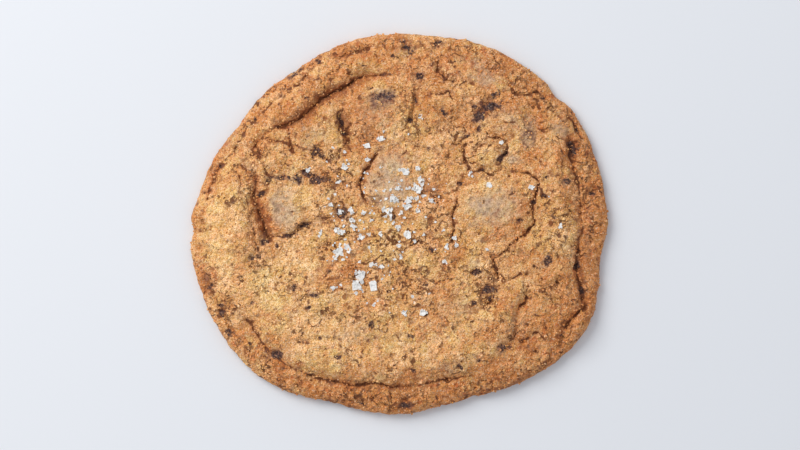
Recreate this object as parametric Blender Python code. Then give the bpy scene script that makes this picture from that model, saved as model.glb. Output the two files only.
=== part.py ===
"""Chocolate chip cookie, large and flat, with flaky salt baked onto its top.

One solid: the crumb with its rolled rim, folds, cracks and the mounds over its chocolate pieces,
and the larger salt flakes fused to it. Metres, +Z up. The origin lies on the resting surface under
the middle of the cookie, +X points to its right and +Y to the edge with the deep fold.
"""

import math
import random

import bmesh
import bpy
import numpy as np
from mathutils import Matrix, Vector, noise

MM = 0.001

# Driving dimensions. The relief is worked out in millimetres, and MM turns it into metres.
RIM_HEIGHT = 4.7
PLATEAU_HEIGHT = 8.2
RIM_BAND = 1.0  # from the edge to where the top starts to climb to the plateau
CLIMB = 15.0  # the width of that climb
SHOULDER = 3.6  # how far in from the edge the top starts to round over
WAIST_HEIGHT = 1.7  # the height of the widest line of the side
BASE_TRIM = 0.12  # what is cut from the underside to leave it flat
FOOT_INSET = 1.5  # from the widest line in to the edge of the flat base

SURFACE_RINGS = 108
SHOULDER_RINGS = 10
FOOT_RINGS = 4
CRUMB_TRIANGLES = 8600

FLAKE_SEED = 11
SMALL_FLAKES = 16
FLAKE_CORNERS = 5
FLAKE_SINK = 0.35  # share of a flake's thickness below the crumb's surface

# The edge seen from above, anticlockwise from the right: x, y
OUTLINE = (
    (62.4, 2.5), (60.6, 13.5), (57.2, 24.0), (52.5, 33.0), (46.8, 38.3), (41.8, 44.0), (32.0, 50.6),
    (21.0, 54.8), (11.0, 56.1), (0.0, 57.0), (-11.0, 55.7), (-21.0, 52.1), (-31.0, 46.0),
    (-41.0, 38.6), (-48.5, 28.8), (-55.0, 20.5), (-59.2, 10.8), (-62.2, 2.0), (-61.4, -2.4),
    (-62.4, -6.5), (-60.6, -16.0), (-56.0, -27.8), (-49.5, -38.0), (-41.0, -46.2), (-32.0, -50.6),
    (-21.0, -53.2), (-11.0, -55.8), (0.5, -57.0), (11.0, -54.9), (24.0, -51.2), (36.0, -47.6),
    (46.0, -41.9), (53.5, -35.0), (58.0, -27.5), (59.8, -18.0), (60.0, -11.0), (61.8, -4.0),
)

# Folds are rolled edges: crease depth, crease width, lip height, lip reach, then the crease line
# as x, y, strength. The lip rises on the left of the direction of travel.
FOLDS = {
    "inner fold": (
        2.8, 1.2, 1.7, 4.6,
        ((-36.0, -6.5, 0.0), (-38.9, -4.2, 0.8), (-40.2, -0.5, 1.0), (-41.5, 3.0, 1.0),
         (-43.0, 7.3, 0.8), (-42.7, 11.5, 0.5), (-43.2, 16.0, 0.3), (-44.0, 20.0, 0.4),
         (-42.6, 24.2, 0.5), (-38.0, 27.6, 0.35), (-33.2, 29.5, 0.7), (-29.5, 31.3, 0.8),
         (-26.0, 34.4, 0.9), (-22.5, 37.8, 1.0), (-18.0, 39.8, 1.0), (-14.5, 42.0, 1.0),
         (-11.0, 43.6, 0.9), (-7.0, 44.2, 0.5), (1.0, 44.0, 0.0)),
    ),
    "left terrace": (
        1.1, 0.8, 0.6, 3.5,
        ((-39.0, -13.0, 0.0), (-41.2, -8.5, 0.7), (-42.6, -5.0, 1.0), (-43.6, -1.0, 1.0),
         (-44.4, 4.0, 0.4), (-45.6, 8.0, 0.8), (-47.4, 9.5, 0.0)),
    ),
    "upper left groove": (
        1.3, 1.2, 1.1, 4.4,
        ((-7.0, 52.6, 0.0), (-12.0, 51.5, 1.0), (-17.0, 50.0, 0.9), (-23.0, 47.6, 0.3),
         (-28.0, 43.4, 0.7), (-34.0, 38.5, 0.4), (-42.5, 31.6, 0.6), (-50.0, 20.8, 0.6),
         (-54.5, 15.0, 0.8), (-57.2, 8.5, 0.6), (-59.4, -3.0, 0.1), (-58.6, -14.0, 0.3),
         (-55.0, -22.0, 0.5), (-50.0, -31.5, 0.3), (-46.0, -36.5, 0.0)),
    ),
    "bottom groove": (
        1.4, 0.8, 1.2, 3.8,
        ((-47.0, -26.5, 0.0), (-44.0, -30.0, 1.0), (-41.6, -34.2, 0.9), (-37.5, -39.0, 0.5),
         (-30.5, -43.6, 0.5), (-22.0, -46.3, 0.8), (-14.0, -48.2, 1.0), (-6.5, -47.6, 1.0),
         (0.0, -48.6, 0.8), (8.0, -47.3, 0.6), (14.0, -46.2, 0.7), (26.0, -44.6, 0.0)),
    ),
    "right groove": (
        1.7, 0.8, 1.0, 3.2,
        ((56.2, -27.5, 0.0), (54.7, -24.0, 0.6), (54.4, -20.3, 1.0), (53.8, -16.8, 0.8),
         (52.8, -13.0, 1.0), (53.0, -9.0, 0.9), (54.2, -4.0, 0.4), (54.5, 2.0, 0.4),
         (53.5, 9.0, 0.5), (52.3, 15.0, 0.5), (51.2, 20.5, 1.0), (51.0, 23.5, 0.9),
         (49.6, 27.5, 0.0)),
    ),
    "lower right tuck": (
        1.8, 0.9, 1.2, 3.0,
        ((57.5, -23.0, 0.0), (55.4, -24.8, 0.8), (53.6, -26.6, 1.0), (50.9, -29.2, 1.0),
         (49.3, -32.0, 0.6), (47.5, -37.0, 0.0)),
    ),
    "upper right groove": (
        1.0, 0.7, 0.4, 2.5,
        ((54.6, 23.5, 0.0), (53.0, 27.8, 1.0), (51.2, 30.8, 0.8), (48.8, 34.0, 0.0)),
    ),
    "right ridge crease": (
        1.4, 0.7, 1.1, 3.0,
        ((31.5, -37.5, 0.0), (34.6, -33.0, 0.5), (34.6, -28.5, 0.6), (35.8, -25.2, 1.0),
         (38.2, -22.0, 1.0), (38.3, -16.5, 0.0)),
    ),
}

# Cracks in the crust: depth, width, then the line as x, y
CRACKS = {
    "right plate, far side": (
        1.6, 0.43,
        ((33.0, 15.4), (37.6, 15.3), (40.2, 13.8), (41.6, 11.4), (40.1, 6.2), (40.2, 2.0),
         (40.5, 0.2), (37.8, -2.8), (33.2, -6.4), (30.6, -9.0), (28.4, -10.4), (29.3, -14.5),
         (30.2, -20.2)),
    ),
    "right plate, near side": (
        1.3, 0.43,
        ((17.6, 9.4), (16.9, 6.0), (15.6, 2.8), (16.3, -1.0), (16.0, -4.2), (17.4, -7.4)),
    ),
    "right plate, top": (
        1.1, 0.39,
        ((20.2, 24.2), (19.0, 22.0), (20.2, 18.0), (21.6, 15.7), (24.4, 15.9), (27.6, 14.5),
         (29.2, 16.0)),
    ),
    "branch to the rim": (1.0, 0.39, ((41.6, 11.4), (43.0, 8.6), (45.4, 8.3))),
    "upper right": (
        1.3, 0.39,
        ((25.1, 29.0), (26.7, 25.6), (30.4, 25.1), (32.3, 22.9), (31.4, 20.7), (29.6, 19.2)),
    ),
    "centre plate, left side": (
        1.7, 0.47,
        ((-5.6, 22.6), (-8.2, 18.2), (-11.3, 13.8), (-11.4, 10.4), (-9.6, 7.0), (-8.6, 3.8)),
    ),
    "top valley": (
        2.0, 0.78,
        ((-16.2, 35.2), (-17.5, 31.8), (-17.0, 28.4), (-15.0, 25.4), (-15.6, 20.8)),
    ),
    "upper seam": (1.2, 0.55, ((5.2, 41.0), (4.3, 36.4), (3.2, 31.0), (2.4, 27.4))),
    "top notch": (1.0, 0.39, ((12.2, 50.2), (11.2, 46.6), (13.7, 43.2), (18.6, 42.0))),
    "top block": (0.9, 0.39, ((9.4, 38.6), (14.6, 39.0), (15.8, 37.6), (16.0, 34.8))),
    "right of the top": (0.8, 0.39, ((33.0, 41.0), (34.4, 38.6), (38.6, 38.4), (41.2, 39.8), (42.6, 37.8))),
    "left plate, upper left": (0.9, 0.39, ((-41.8, 20.8), (-40.2, 16.6), (-38.4, 13.4), (-39.6, 9.8))),
    "left plate, below": (
        1.1, 0.47,
        ((-39.2, -4.4), (-35.0, -3.6), (-31.6, -3.1), (-28.6, -0.6), (-25.6, 0.6)),
    ),
    "upper left, short": (1.0, 0.39, ((-33.4, 29.2), (-32.6, 25.0), (-32.4, 22.4), (-30.9, 20.2))),
    "left shelf": (1.0, 0.47, ((-45.5, 19.4), (-42.2, 21.4), (-42.4, 24.4), (-38.6, 24.4), (-34.6, 24.6))),
    "left ripple": (0.8, 0.39, ((-48.4, 15.6), (-47.2, 12.6), (-47.6, 8.4))),
    "left of centre": (0.6, 0.39, ((-26.2, -3.4), (-22.3, -7.1), (-20.3, -8.6))),
    "below centre": (0.8, 0.39, ((1.8, -7.8), (4.4, -5.6), (6.6, -5.2), (8.6, -6.6))),
    "lower centre": (0.8, 0.39, ((-6.0, -19.4), (-2.8, -20.2), (-0.4, -21.8))),
    "lower right plate": (1.0, 0.39, ((28.6, -22.4), (26.4, -23.8), (24.8, -25.6))),
    "right, short": (0.9, 0.39, ((47.4, -13.4), (47.4, -16.6), (46.8, -19.8), (49.2, -24.2))),
    "lower right": (0.8, 0.39, ((9.6, -45.2), (12.6, -43.6), (16.2, -43.9), (18.4, -42.2))),
    "small loop": (0.9, 0.39, ((30.0, -14.4), (31.8, -16.5), (33.8, -16.2), (36.0, -15.0), (39.6, -14.9))),
    "below the ridge": (0.7, 0.39, ((34.8, -33.6), (37.4, -34.8), (41.0, -32.4), (43.8, -35.3))),
}

# Low mounds over the chocolate just under the crust: x, y, half length, half width, turn, lift
MOUNDS = (
    (-34.2, 4.6, 8.0, 6.0, 100, 1.2),
    (-3.0, 11.5, 9.5, 8.0, 70, 1.1),
    (27.5, 5.0, 11.5, 8.5, 15, 1.2),
    (-6.8, 33.0, 8.8, 8.0, 80, 1.1),
    (38.0, -9.0, 8.5, 5.5, 20, 1.0),
    (31.5, 30.5, 5.2, 4.5, 0, 0.6),
    (25.5, 22.0, 5.0, 5.0, 0, 0.6),
    (10.5, 33.0, 5.5, 5.0, 0, 0.5),
    (-25.5, 25.5, 7.0, 5.0, 30, 0.5),
    (-24.0, 6.5, 4.5, 4.5, 0, 0.5),
    (6.5, -11.0, 6.5, 4.0, 10, 0.5),
    (31.0, -28.5, 6.5, 4.0, 55, 0.8),
)

# Broad rises and hollows of the whole cookie: x, y, half length, half width, turn, lift
SWELLS = (
    (-51.0, 0.0, 26.0, 7.0, 95, 1.2),
    (-30.0, 39.0, 24.0, 6.0, 38, 0.9),
    (6.0, 49.0, 24.0, 6.0, 0, 0.4),
    (-28.0, -27.0, 24.0, 13.0, -25, 0.7),
    (6.0, -39.0, 30.0, 8.0, 0, 0.7),
    (47.0, -4.0, 24.0, 6.5, 95, 0.7),
    (2.0, 10.0, 34.0, 25.0, 0, -0.9),
    (38.0, -31.0, 8.0, 4.5, 60, -0.8),
)

# The larger salt flakes: x, y, width, thickness
SALT_FLAKES = (
    (2.1, 6.3, 3.4, 1.1), (-4.0, 3.6, 3.2, 1.0), (-2.0, 7.8, 1.9, 0.8), (1.7, 15.5, 2.2, 0.9),
    (6.0, 13.0, 2.5, 0.9), (5.7, 10.4, 2.3, 0.9), (-11.7, -15.8, 3.3, 1.1),
    (-12.8, -18.5, 2.8, 1.0), (-7.8, -18.5, 3.0, 1.0), (-17.8, -8.1, 2.8, 1.0),
    (-15.2, -7.2, 2.4, 0.9), (-13.3, -0.6, 2.2, 0.9), (-18.4, -1.9, 2.0, 0.7),
    (2.5, -3.0, 2.4, 0.9), (-11.2, -4.0, 1.9, 0.8), (14.0, -6.8, 1.9, 0.8), (-9.6, 23.4, 2.1, 0.8),
    (-5.5, 25.4, 1.9, 0.7), (-16.5, 16.8, 2.2, 0.8), (7.0, -26.4, 2.1, 0.8), (1.7, -26.2, 1.7, 0.7),
    (26.5, 11.7, 2.0, 0.8), (-27.0, 16.0, 1.5, 0.7), (-14.5, 4.0, 1.8, 0.8), (-8.3, -12.0, 1.8, 0.7),
    (-7.4, -24.0, 1.6, 0.7), (-5.6, -3.1, 1.6, 0.7), (5.5, 4.0, 1.5, 0.7),
)
SALT_CENTRE = (-2.0, 0.0)
SALT_SPREAD = 15.0


def smooth_step(value, low, high):
    """0 below low, 1 above high and an S curve between."""
    share = np.clip((value - low) / (high - low), 0.0, 1.0)
    return share * share * (3.0 - 2.0 * share)


def curve_through(points, steps=5):
    """The points of a Catmull-Rom curve through the given ones, with their other values carried along."""
    rows = np.array(points, float)
    padded = np.vstack([2 * rows[0] - rows[1], rows, 2 * rows[-1] - rows[-2]])
    shares = np.arange(steps)[:, None] / steps
    made = []
    for a, b, c, d in zip(padded, padded[1:], padded[2:], padded[3:]):
        made.append(
            0.5 * (2 * b + (c - a) * shares + (2 * a - 5 * b + 4 * c - d) * shares**2
                   + (3 * b - a - 3 * c + d) * shares**3)
        )
    return np.vstack([*made, rows[-1:]])


def edge_radius(angle):
    """The distance from the middle to the edge at each angle."""
    turns = 3
    loop = curve_through(OUTLINE * turns + OUTLINE[:1])
    around = np.unwrap(np.arctan2(loop[:, 1], loop[:, 0]))
    return np.interp(angle % math.tau + math.tau, around, np.hypot(loop[:, 0], loop[:, 1]))


def tangents(line):
    """The direction of the line at each of its points."""
    along = np.diff(line[:, :2], axis=0)
    along /= np.hypot(along[:, 0], along[:, 1])[:, None]
    return np.vstack([along[:1], along[:-1] + along[1:], along[-1:]])


def beside_line(x, y, line, reach):
    """Distance to the line, positive on its left, and the line's last value at the nearest point."""
    distance, strength = np.full(x.shape, float(reach)), np.zeros(x.shape)
    low, high = line[:, :2].min(axis=0) - reach, line[:, :2].max(axis=0) + reach
    near = (x > low[0]) & (x < high[0]) & (y > low[1]) & (y < high[1])
    px, py = x[near], y[near]
    best, side, value = (np.full(px.shape, start) for start in (np.inf, 1.0, 0.0))
    heading = tangents(line)
    for start, end, before, after in zip(line, line[1:], heading, heading[1:]):
        dx, dy = (end - start)[:2]
        along = ((px - start[0]) * dx + (py - start[1]) * dy) / (dx * dx + dy * dy)
        along = np.clip(along, 0.0, 1.0)
        ox, oy = px - start[0] - along * dx, py - start[1] - along * dy
        away = np.hypot(ox, oy)
        left = (before[0] + along * (after[0] - before[0])) * oy
        left -= (before[1] + along * (after[1] - before[1])) * ox
        closer = away < best
        best = np.where(closer, away, best)
        side = np.where(closer, np.where(left > 0, 1.0, -1.0), side)
        value = np.where(closer, start[-1] + along * (end[-1] - start[-1]), value)
    distance[near], strength[near] = best * side, value
    return distance, strength


def fold_relief(x, y):
    """The creases, each with a rolled lip along its left."""
    height = np.zeros(x.shape)
    for depth, width, lip, reach, line in FOLDS.values():
        away, strength = beside_line(x, y, curve_through(line), 4 * reach)
        crease = depth * np.exp(-np.abs(away) / width)
        rise = np.clip(away, 0.0, None) / reach
        height += strength * (lip * rise * np.exp(0.5 - 0.5 * rise**2) - crease)
    return height


def crack_relief(x, y):
    """The cracks, fading out at both ends."""
    height = np.zeros(x.shape)
    for depth, width, line in CRACKS.values():
        fade = [0.2, *[1.0] * (len(line) - 2), 0.2]
        marked = [(*point, share) for point, share in zip(line, fade)]
        away, strength = beside_line(x, y, curve_through(marked), 8 * width)
        height -= strength * depth * np.exp(-((np.abs(away) / width) ** 1.3))
    return height


def oval_distance(x, y, oval):
    """0 in the middle of a turned oval and 1 on its edge."""
    centre_x, centre_y, half_length, half_width, turn = oval
    cos, sin = math.cos(math.radians(turn)), math.sin(math.radians(turn))
    along = (x - centre_x) * cos + (y - centre_y) * sin
    across = (y - centre_y) * cos - (x - centre_x) * sin
    return np.hypot(along / half_length, across / half_width)


def lumps(x, y, size, seed):
    """Smooth noise of about -1 to 1, with lumps of the given size, its grain turned with the seed."""
    cos, sin = math.cos(seed) / size, math.sin(seed) / size
    across, up = x * cos - y * sin, x * sin + y * cos
    return np.array([noise.noise(Vector((a, b, seed))) for a, b in zip(across, up)])


def warped(x, y):
    """The points shifted a little here and there, which makes drawn lines and ovals uneven."""
    shift_x = 0.5 * lumps(x, y, 7.0, 21.0) + 0.5 * lumps(x, y, 2.2, 22.0)
    shift_y = 0.5 * lumps(x, y, 7.0, 23.0) + 0.5 * lumps(x, y, 2.2, 24.0)
    return x + shift_x, y + shift_y


def top_height(x, y, inset):
    """The top of the cookie above its base, inset being the distance in from the edge."""
    climb = smooth_step(inset, RIM_BAND, RIM_BAND + CLIMB)
    height = RIM_HEIGHT + (PLATEAU_HEIGHT - RIM_HEIGHT) * climb
    for *oval, lift in SWELLS:
        height += lift * np.exp(-1.5 * oval_distance(x, y, oval) ** 2)
    height += 0.6 * lumps(x, y, 11.0, 5.0) + 0.4 * lumps(x, y, 5.0, 7.0)
    height += 0.35 * lumps(x, y, 2.4, 9.0) + (0.2 + 0.2 * (1.0 - climb)) * lumps(x, y, 1.3, 11.0)
    x, y = warped(x, y)
    for *oval, lift in MOUNDS:
        height += lift * (1.0 - smooth_step(oval_distance(x, y, oval), 0.55, 1.3))
    return height + fold_relief(x, y) + crack_relief(x, y)


def disc_lattice(rings):
    """A disc of even triangles: ring and angle of each point, six more on every ring, and the faces."""
    ring, angle, faces = [0], [0.0], []
    for n in range(1, rings + 1):
        first, inner = len(ring), len(ring) - 6 * (n - 1)
        ring += [n] * (6 * n)
        angle += [math.tau * k / (6 * n) for k in range(6 * n)]
        for side in range(6):
            for k in range(n):
                outer = [first + (side * n + k + step) % (6 * n) for step in (0, 1)]
                if n == 1:
                    faces.append((0, *outer))
                    continue
                below = [inner + (side * (n - 1) + k + step) % (6 * (n - 1)) for step in (-1, 0)]
                faces.append((below[1], *outer) if k < n - 1 else (below[1], *outer))
                if k > 0:
                    faces.append((below[0], outer[0], below[1]))
    return np.array(ring), np.array(angle), faces


def crumb_points(ring, angle):
    """Where each lattice point lies: over the top, round the shoulder and under to the base."""
    edge = edge_radius(angle) + 0.35 * lumps(40 * np.cos(angle), 40 * np.sin(angle), 2.2, 3.0)
    flat_rings = SURFACE_RINGS - SHOULDER_RINGS - FOOT_RINGS
    round_over = np.clip((ring - flat_rings) / SHOULDER_RINGS, 0.0, 1.0) * math.pi / 2
    tuck = np.clip((ring - flat_rings - SHOULDER_RINGS) / FOOT_RINGS, 0.0, 1.0) * math.pi / 2
    radius = (edge - SHOULDER) * np.clip(ring / flat_rings, 0.0, 1.0)
    radius += SHOULDER * np.sin(round_over) - FOOT_INSET * (1.0 - np.cos(tuck))
    x, y = radius * np.cos(angle), radius * np.sin(angle)
    height = top_height(x, y, edge - radius)
    z = WAIST_HEIGHT + (height - WAIST_HEIGHT) * np.cos(round_over)
    z = np.where(tuck > 0, WAIST_HEIGHT * (1.0 - np.sin(tuck)), z)
    return np.column_stack([x, y, z])


def centred(points):
    """The points moved sideways so that the middle of their box is over the origin."""
    low, high = points.min(axis=0), points.max(axis=0)
    return points - [(low[0] + high[0]) / 2, (low[1] + high[1]) / 2, 0.0]


def crumb_material():
    material = bpy.data.materials.new("baked_crumb")
    material.use_nodes = True
    surface = material.node_tree.nodes["Principled BSDF"]
    surface.inputs["Base Color"].default_value = (0.52, 0.26, 0.10, 1.0)
    surface.inputs["Roughness"].default_value = 0.85
    surface.inputs["Metallic"].default_value = 0.0
    return material


def make_crumb():
    """The cookie without its salt, thinned to fewer triangles where it is smooth."""
    ring, angle, faces = disc_lattice(SURFACE_RINGS)
    points = centred(crumb_points(ring, angle)) * MM
    base = np.flatnonzero(ring == SURFACE_RINGS)[::-1]
    mesh = bpy.data.meshes.new("cookie")
    mesh.from_pydata(points.tolist(), [], [*faces, tuple(int(i) for i in base)])
    mesh.materials.append(crumb_material())
    crumb = bpy.data.objects.new("cookie", mesh)
    bpy.context.scene.collection.objects.link(crumb)
    thin = crumb.modifiers.new("thin out", "DECIMATE")
    thin.ratio = CRUMB_TRIANGLES / (len(faces) + len(base) - 2)
    graph = bpy.context.evaluated_depsgraph_get()
    crumb.data = bpy.data.meshes.new_from_object(crumb.evaluated_get(graph))
    crumb.modifiers.clear()
    level_base(crumb.data)
    return crumb


def level_base(mesh):
    """Trims the underside to one flat face at height 0."""
    made = bmesh.new()
    made.from_mesh(mesh)
    cut = bmesh.ops.bisect_plane(
        made,
        geom=[*made.verts, *made.edges, *made.faces],
        dist=1e-7,
        plane_co=(0.0, 0.0, BASE_TRIM * MM),
        plane_no=(0.0, 0.0, 1.0),
        clear_inner=True,
    )["geom_cut"]
    rim = [part for part in cut if isinstance(part, bmesh.types.BMEdge)]
    bmesh.ops.contextual_create(made, geom=rim)
    for point in made.verts:
        point.co.z -= BASE_TRIM * MM
    bmesh.ops.recalc_face_normals(made, faces=made.faces)
    made.to_mesh(mesh)
    made.free()


def flake_places():
    """The larger flakes, then small ones scattered round the middle."""
    draw = random.Random(FLAKE_SEED)
    rows = list(SALT_FLAKES)
    while len(rows) < len(SALT_FLAKES) + SMALL_FLAKES:
        x = SALT_CENTRE[0] + draw.gauss(0.0, SALT_SPREAD)
        y = SALT_CENTRE[1] + draw.gauss(0.0, SALT_SPREAD)
        width = draw.uniform(1.2, 1.7)
        if all(math.hypot(x - row[0], y - row[1]) > 0.7 * (width + row[2]) for row in rows):
            rows.append((x, y, width, 0.6))
    return rows


def make_flake(x, y, width, thickness, ground, draw):
    """One thin crystal: an uneven slab with a smaller upper face, set a little into the crumb."""
    made = bmesh.new()
    start = draw.uniform(0.0, math.tau)
    rim = []
    for k in range(FLAKE_CORNERS):
        turn = start + math.tau * (k + draw.uniform(-0.2, 0.2)) / FLAKE_CORNERS
        radius = 0.5 * width * draw.uniform(0.85, 1.1)
        rim.append(made.verts.new((radius * math.cos(turn), radius * math.sin(turn), 0.0)))
    slab = made.faces.new(rim)
    raised = bmesh.ops.extrude_face_region(made, geom=[slab])["geom"]
    upper = [part for part in raised if isinstance(part, bmesh.types.BMVert)]
    bmesh.ops.translate(made, verts=upper, vec=(0.0, 0.0, thickness))
    bmesh.ops.scale(made, verts=upper, vec=(0.8, 0.8, 1.0))
    bmesh.ops.recalc_face_normals(made, faces=made.faces)
    tilt = Matrix.Rotation(draw.uniform(-0.2, 0.2), 4, "X")
    tilt @= Matrix.Rotation(draw.uniform(-0.2, 0.2), 4, "Y")
    place = Matrix.Translation((x, y, ground - FLAKE_SINK * thickness))
    bmesh.ops.transform(made, matrix=Matrix.Scale(MM, 4) @ place @ tilt, verts=made.verts)
    mesh = bpy.data.meshes.new("salt flake")
    made.to_mesh(mesh)
    made.free()
    return bpy.data.objects.new("salt flake", mesh)


def ground_under(crumb):
    """A function giving the crumb's top height in millimetres at x, y."""
    graph = bpy.context.evaluated_depsgraph_get()
    shape = crumb.evaluated_get(graph)

    def height(x, y):
        hit, point, _, _ = shape.ray_cast(Vector((x, y, 40.0)) * MM, Vector((0, 0, -1)))
        return point.z / MM if hit else 0.0

    return height


def fuse_salt(crumb):
    """Joins every flake to the crumb with one union, and leaves the crumb alone in the scene."""
    draw = random.Random(FLAKE_SEED)
    ground = ground_under(crumb)
    group = bpy.data.collections.new("salt")
    bpy.context.scene.collection.children.link(group)
    for x, y, width, thickness in flake_places():
        group.objects.link(make_flake(x, y, width, thickness, ground(x, y), draw))
    join = crumb.modifiers.new("salt", "BOOLEAN")
    join.operation = "UNION"
    join.operand_type = "COLLECTION"
    join.collection = group
    graph = bpy.context.evaluated_depsgraph_get()
    fused = bpy.data.meshes.new_from_object(crumb.evaluated_get(graph))
    crumb.modifiers.clear()
    crumb.data = fused
    for flake in list(group.objects):
        bpy.data.objects.remove(flake)
    bpy.data.collections.remove(group)


def main():
    for old in list(bpy.data.objects):
        bpy.data.objects.remove(old)
    crumb = make_crumb()
    fuse_salt(crumb)
    crumb.data.shade_smooth()


main()
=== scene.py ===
"""Chocolate chip cookie: the looks of its baked crust, chocolate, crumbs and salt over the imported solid.

The cookie lies on the floor with its middle over the origin. The relief is worked out in millimetres,
and MM turns it into metres.
"""

import math
import random

import bmesh
import bpy
import numpy as np
from mathutils import Euler, Matrix, Vector, noise
from mathutils.bvhtree import BVHTree


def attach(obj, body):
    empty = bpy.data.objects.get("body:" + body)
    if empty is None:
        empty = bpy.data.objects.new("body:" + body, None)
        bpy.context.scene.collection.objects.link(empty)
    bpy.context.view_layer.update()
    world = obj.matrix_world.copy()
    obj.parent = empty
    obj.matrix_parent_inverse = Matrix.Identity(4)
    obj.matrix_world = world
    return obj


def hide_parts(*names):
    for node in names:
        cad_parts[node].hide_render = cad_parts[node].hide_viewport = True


bl_info = {
    "name": "Chocolate Chip Cookie",
    "version": (1, 0, 0),
    "blender": (4, 5, 0),
    "location": "View3D > Sidebar > Cookie",
    "description": "Bakes a salted chocolate chip cookie over its solid",
    "category": "Object",
}

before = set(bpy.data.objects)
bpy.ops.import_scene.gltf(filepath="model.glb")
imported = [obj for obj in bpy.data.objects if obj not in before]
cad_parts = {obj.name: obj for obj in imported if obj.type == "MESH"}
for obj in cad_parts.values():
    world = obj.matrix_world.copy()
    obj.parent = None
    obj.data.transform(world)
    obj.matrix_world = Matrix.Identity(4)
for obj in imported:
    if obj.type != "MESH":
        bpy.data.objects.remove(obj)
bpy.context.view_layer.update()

NODE = "cookie"
BODY = "root"
MM = 0.001

# The form of the cookie, the same as its solid's
RIM_HEIGHT = 4.7
PLATEAU_HEIGHT = 8.2
RIM_BAND = 1.0  # from the edge to where the top starts to climb to the plateau
CLIMB = 15.0  # the width of that climb
SHOULDER = 3.6  # how far in from the edge the top starts to round over
WAIST_HEIGHT = 1.7  # the height of the widest line of the side
FOOT_INSET = 1.5  # from the widest line in to the edge of the flat base

SURFACE_RINGS = 168
SHOULDER_RINGS = 16
FOOT_RINGS = 6
UNDER_RINGS = 44

FLAKE_SEED = 11
SMALL_FLAKES = 16
SMALL_FLAKE_WIDTHS = (1.2, 1.7)
SMALL_FLAKE_THICKNESS = 0.6

# The finer relief of the crust
WIDE_GAPS = 5.2  # size of the clumps between the wider gaps of the grain
NARROW_GAPS = 2.3
PORE_SPACING = 2.0
PORE_SHARE = 0.12  # how many of those places hold a pore
FOLD_SHADE = 0.45  # half width of the painted shade in a fold
CRACK_SHADE = 0.32
EDGE_SHADE = 0.22  # how dark the painted shade along the very edge is
ABOVE_ALL = 40.0  # higher than any of the cookie
BIT_DEPTH = 0.6  # how far the middle of a bit of chocolate lies below its top

# Salt splinters, and the plates that a flake is made of
SINGLE_SHARD = 1.3  # narrower than this, a flake is one shard
SPLINTER_WIDTHS = (0.4, 1.8, 0.8)  # smallest, largest, usual
SPLINTER_THICKNESS = 0.4
CLEAR_OF_CHOCOLATE = 1.3  # how far splinters keep off, as a multiple of the bare spot
SHARD_LEVELS = ((0.9, -0.5), (1.0, 0.3), (0.92, 0.5), (0.5, 0.5), (0.42, 0.2))  # reach, height

# The middle and the radius of the top and of the underside on the square map of the crust
TOP_MAP = (0.385, 0.38)
UNDER_MAP = (0.84, 0.15)

# How much each layer of colour hides at its strongest
COVER = {
    "sugar": 0.58,
    "beside a crack": 0.22,
    "dust": 0.75,
    "thin crust": 0.8,
    # furrow: painted shade in folds, hollows and along the edge, partly real browning
    "furrow_burn_and_shade": 0.75,
    # crease: painted shade in creases, cracks and pores
    "crease": 0.9,
    "halo": 0.6,
    "stain": 0.95,
}

# The smooth patterns of the materials: size of their lumps in metres, seed, detail
PATTERNS = {
    "browned patches": (0.0065, 0.3, 3.0),
    "ochre patches": (0.009, 6.6, 2.0),
    "sand": (0.0008, 0.7, 2.0),
    "fine sand": (0.00035, 0.9, 1.0),
    "sugar grains": (0.0005, 2.3, 2.0),
    "crack edges": (0.0012, 9.4, 1.0),
    "blotches": (0.0016, 1.9, 3.0),
    "reddened": (0.0024, 12.1, 3.0),
    "scorched": (0.005, 8.8, 1.0),
    "mottling": (0.0007, 7.3, 2.0),
    "bloom": (0.0012, 3.1, 3.0),
    "specks": (0.0006, 7.3, 2.0),
    "chocolate grain": (0.0005, 4.7, 2.0),
    "salt clouds": (0.0007, 5.3, 2.0),
    "floor clouds": (0.2, 6.1, 2.0),
}

# The uneven cells of the dough, in metres
CLUMPS = 0.0029
DUST_SPACING = 0.0009

# The fine cracks: spacing in metres, width in the noise's own units, seed, strength
FINE_CRACKS = ((0.0062, 0.028, 3.3, 1.0), (0.003, 0.045, 4.4, 0.8))
CRACKED_PATCHES = 0.0055  # size of the patches that have such cracks

# The stage, in metres
FLOOR_HALF = 2.0
LAMP_PLACE = (-0.55, 0.50, 0.71)
LAMP_SIZE = 0.62
LAMP_COLOUR = (1.0, 0.985, 0.96)
SKY_COLOUR = (0.92, 0.95, 1.0)
CAMERA_ASIDE = (0.00015, -0.0003)

# The edge seen from above, anticlockwise from the right: x, y
OUTLINE = (
    (62.4, 2.5), (60.6, 13.5), (57.2, 24.0), (52.5, 33.0), (46.8, 38.3), (41.8, 44.0), (32.0, 50.6),
    (21.0, 54.8), (11.0, 56.1), (0.0, 57.0), (-11.0, 55.7), (-21.0, 52.1), (-31.0, 46.0),
    (-41.0, 38.6), (-48.5, 28.8), (-55.0, 20.5), (-59.2, 10.8), (-62.2, 2.0), (-61.4, -2.4),
    (-62.4, -6.5), (-60.6, -16.0), (-56.0, -27.8), (-49.5, -38.0), (-41.0, -46.2), (-32.0, -50.6),
    (-21.0, -53.2), (-11.0, -55.8), (0.5, -57.0), (11.0, -54.9), (24.0, -51.2), (36.0, -47.6),
    (46.0, -41.9), (53.5, -35.0), (58.0, -27.5), (59.8, -18.0), (60.0, -11.0), (61.8, -4.0),
)

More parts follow.
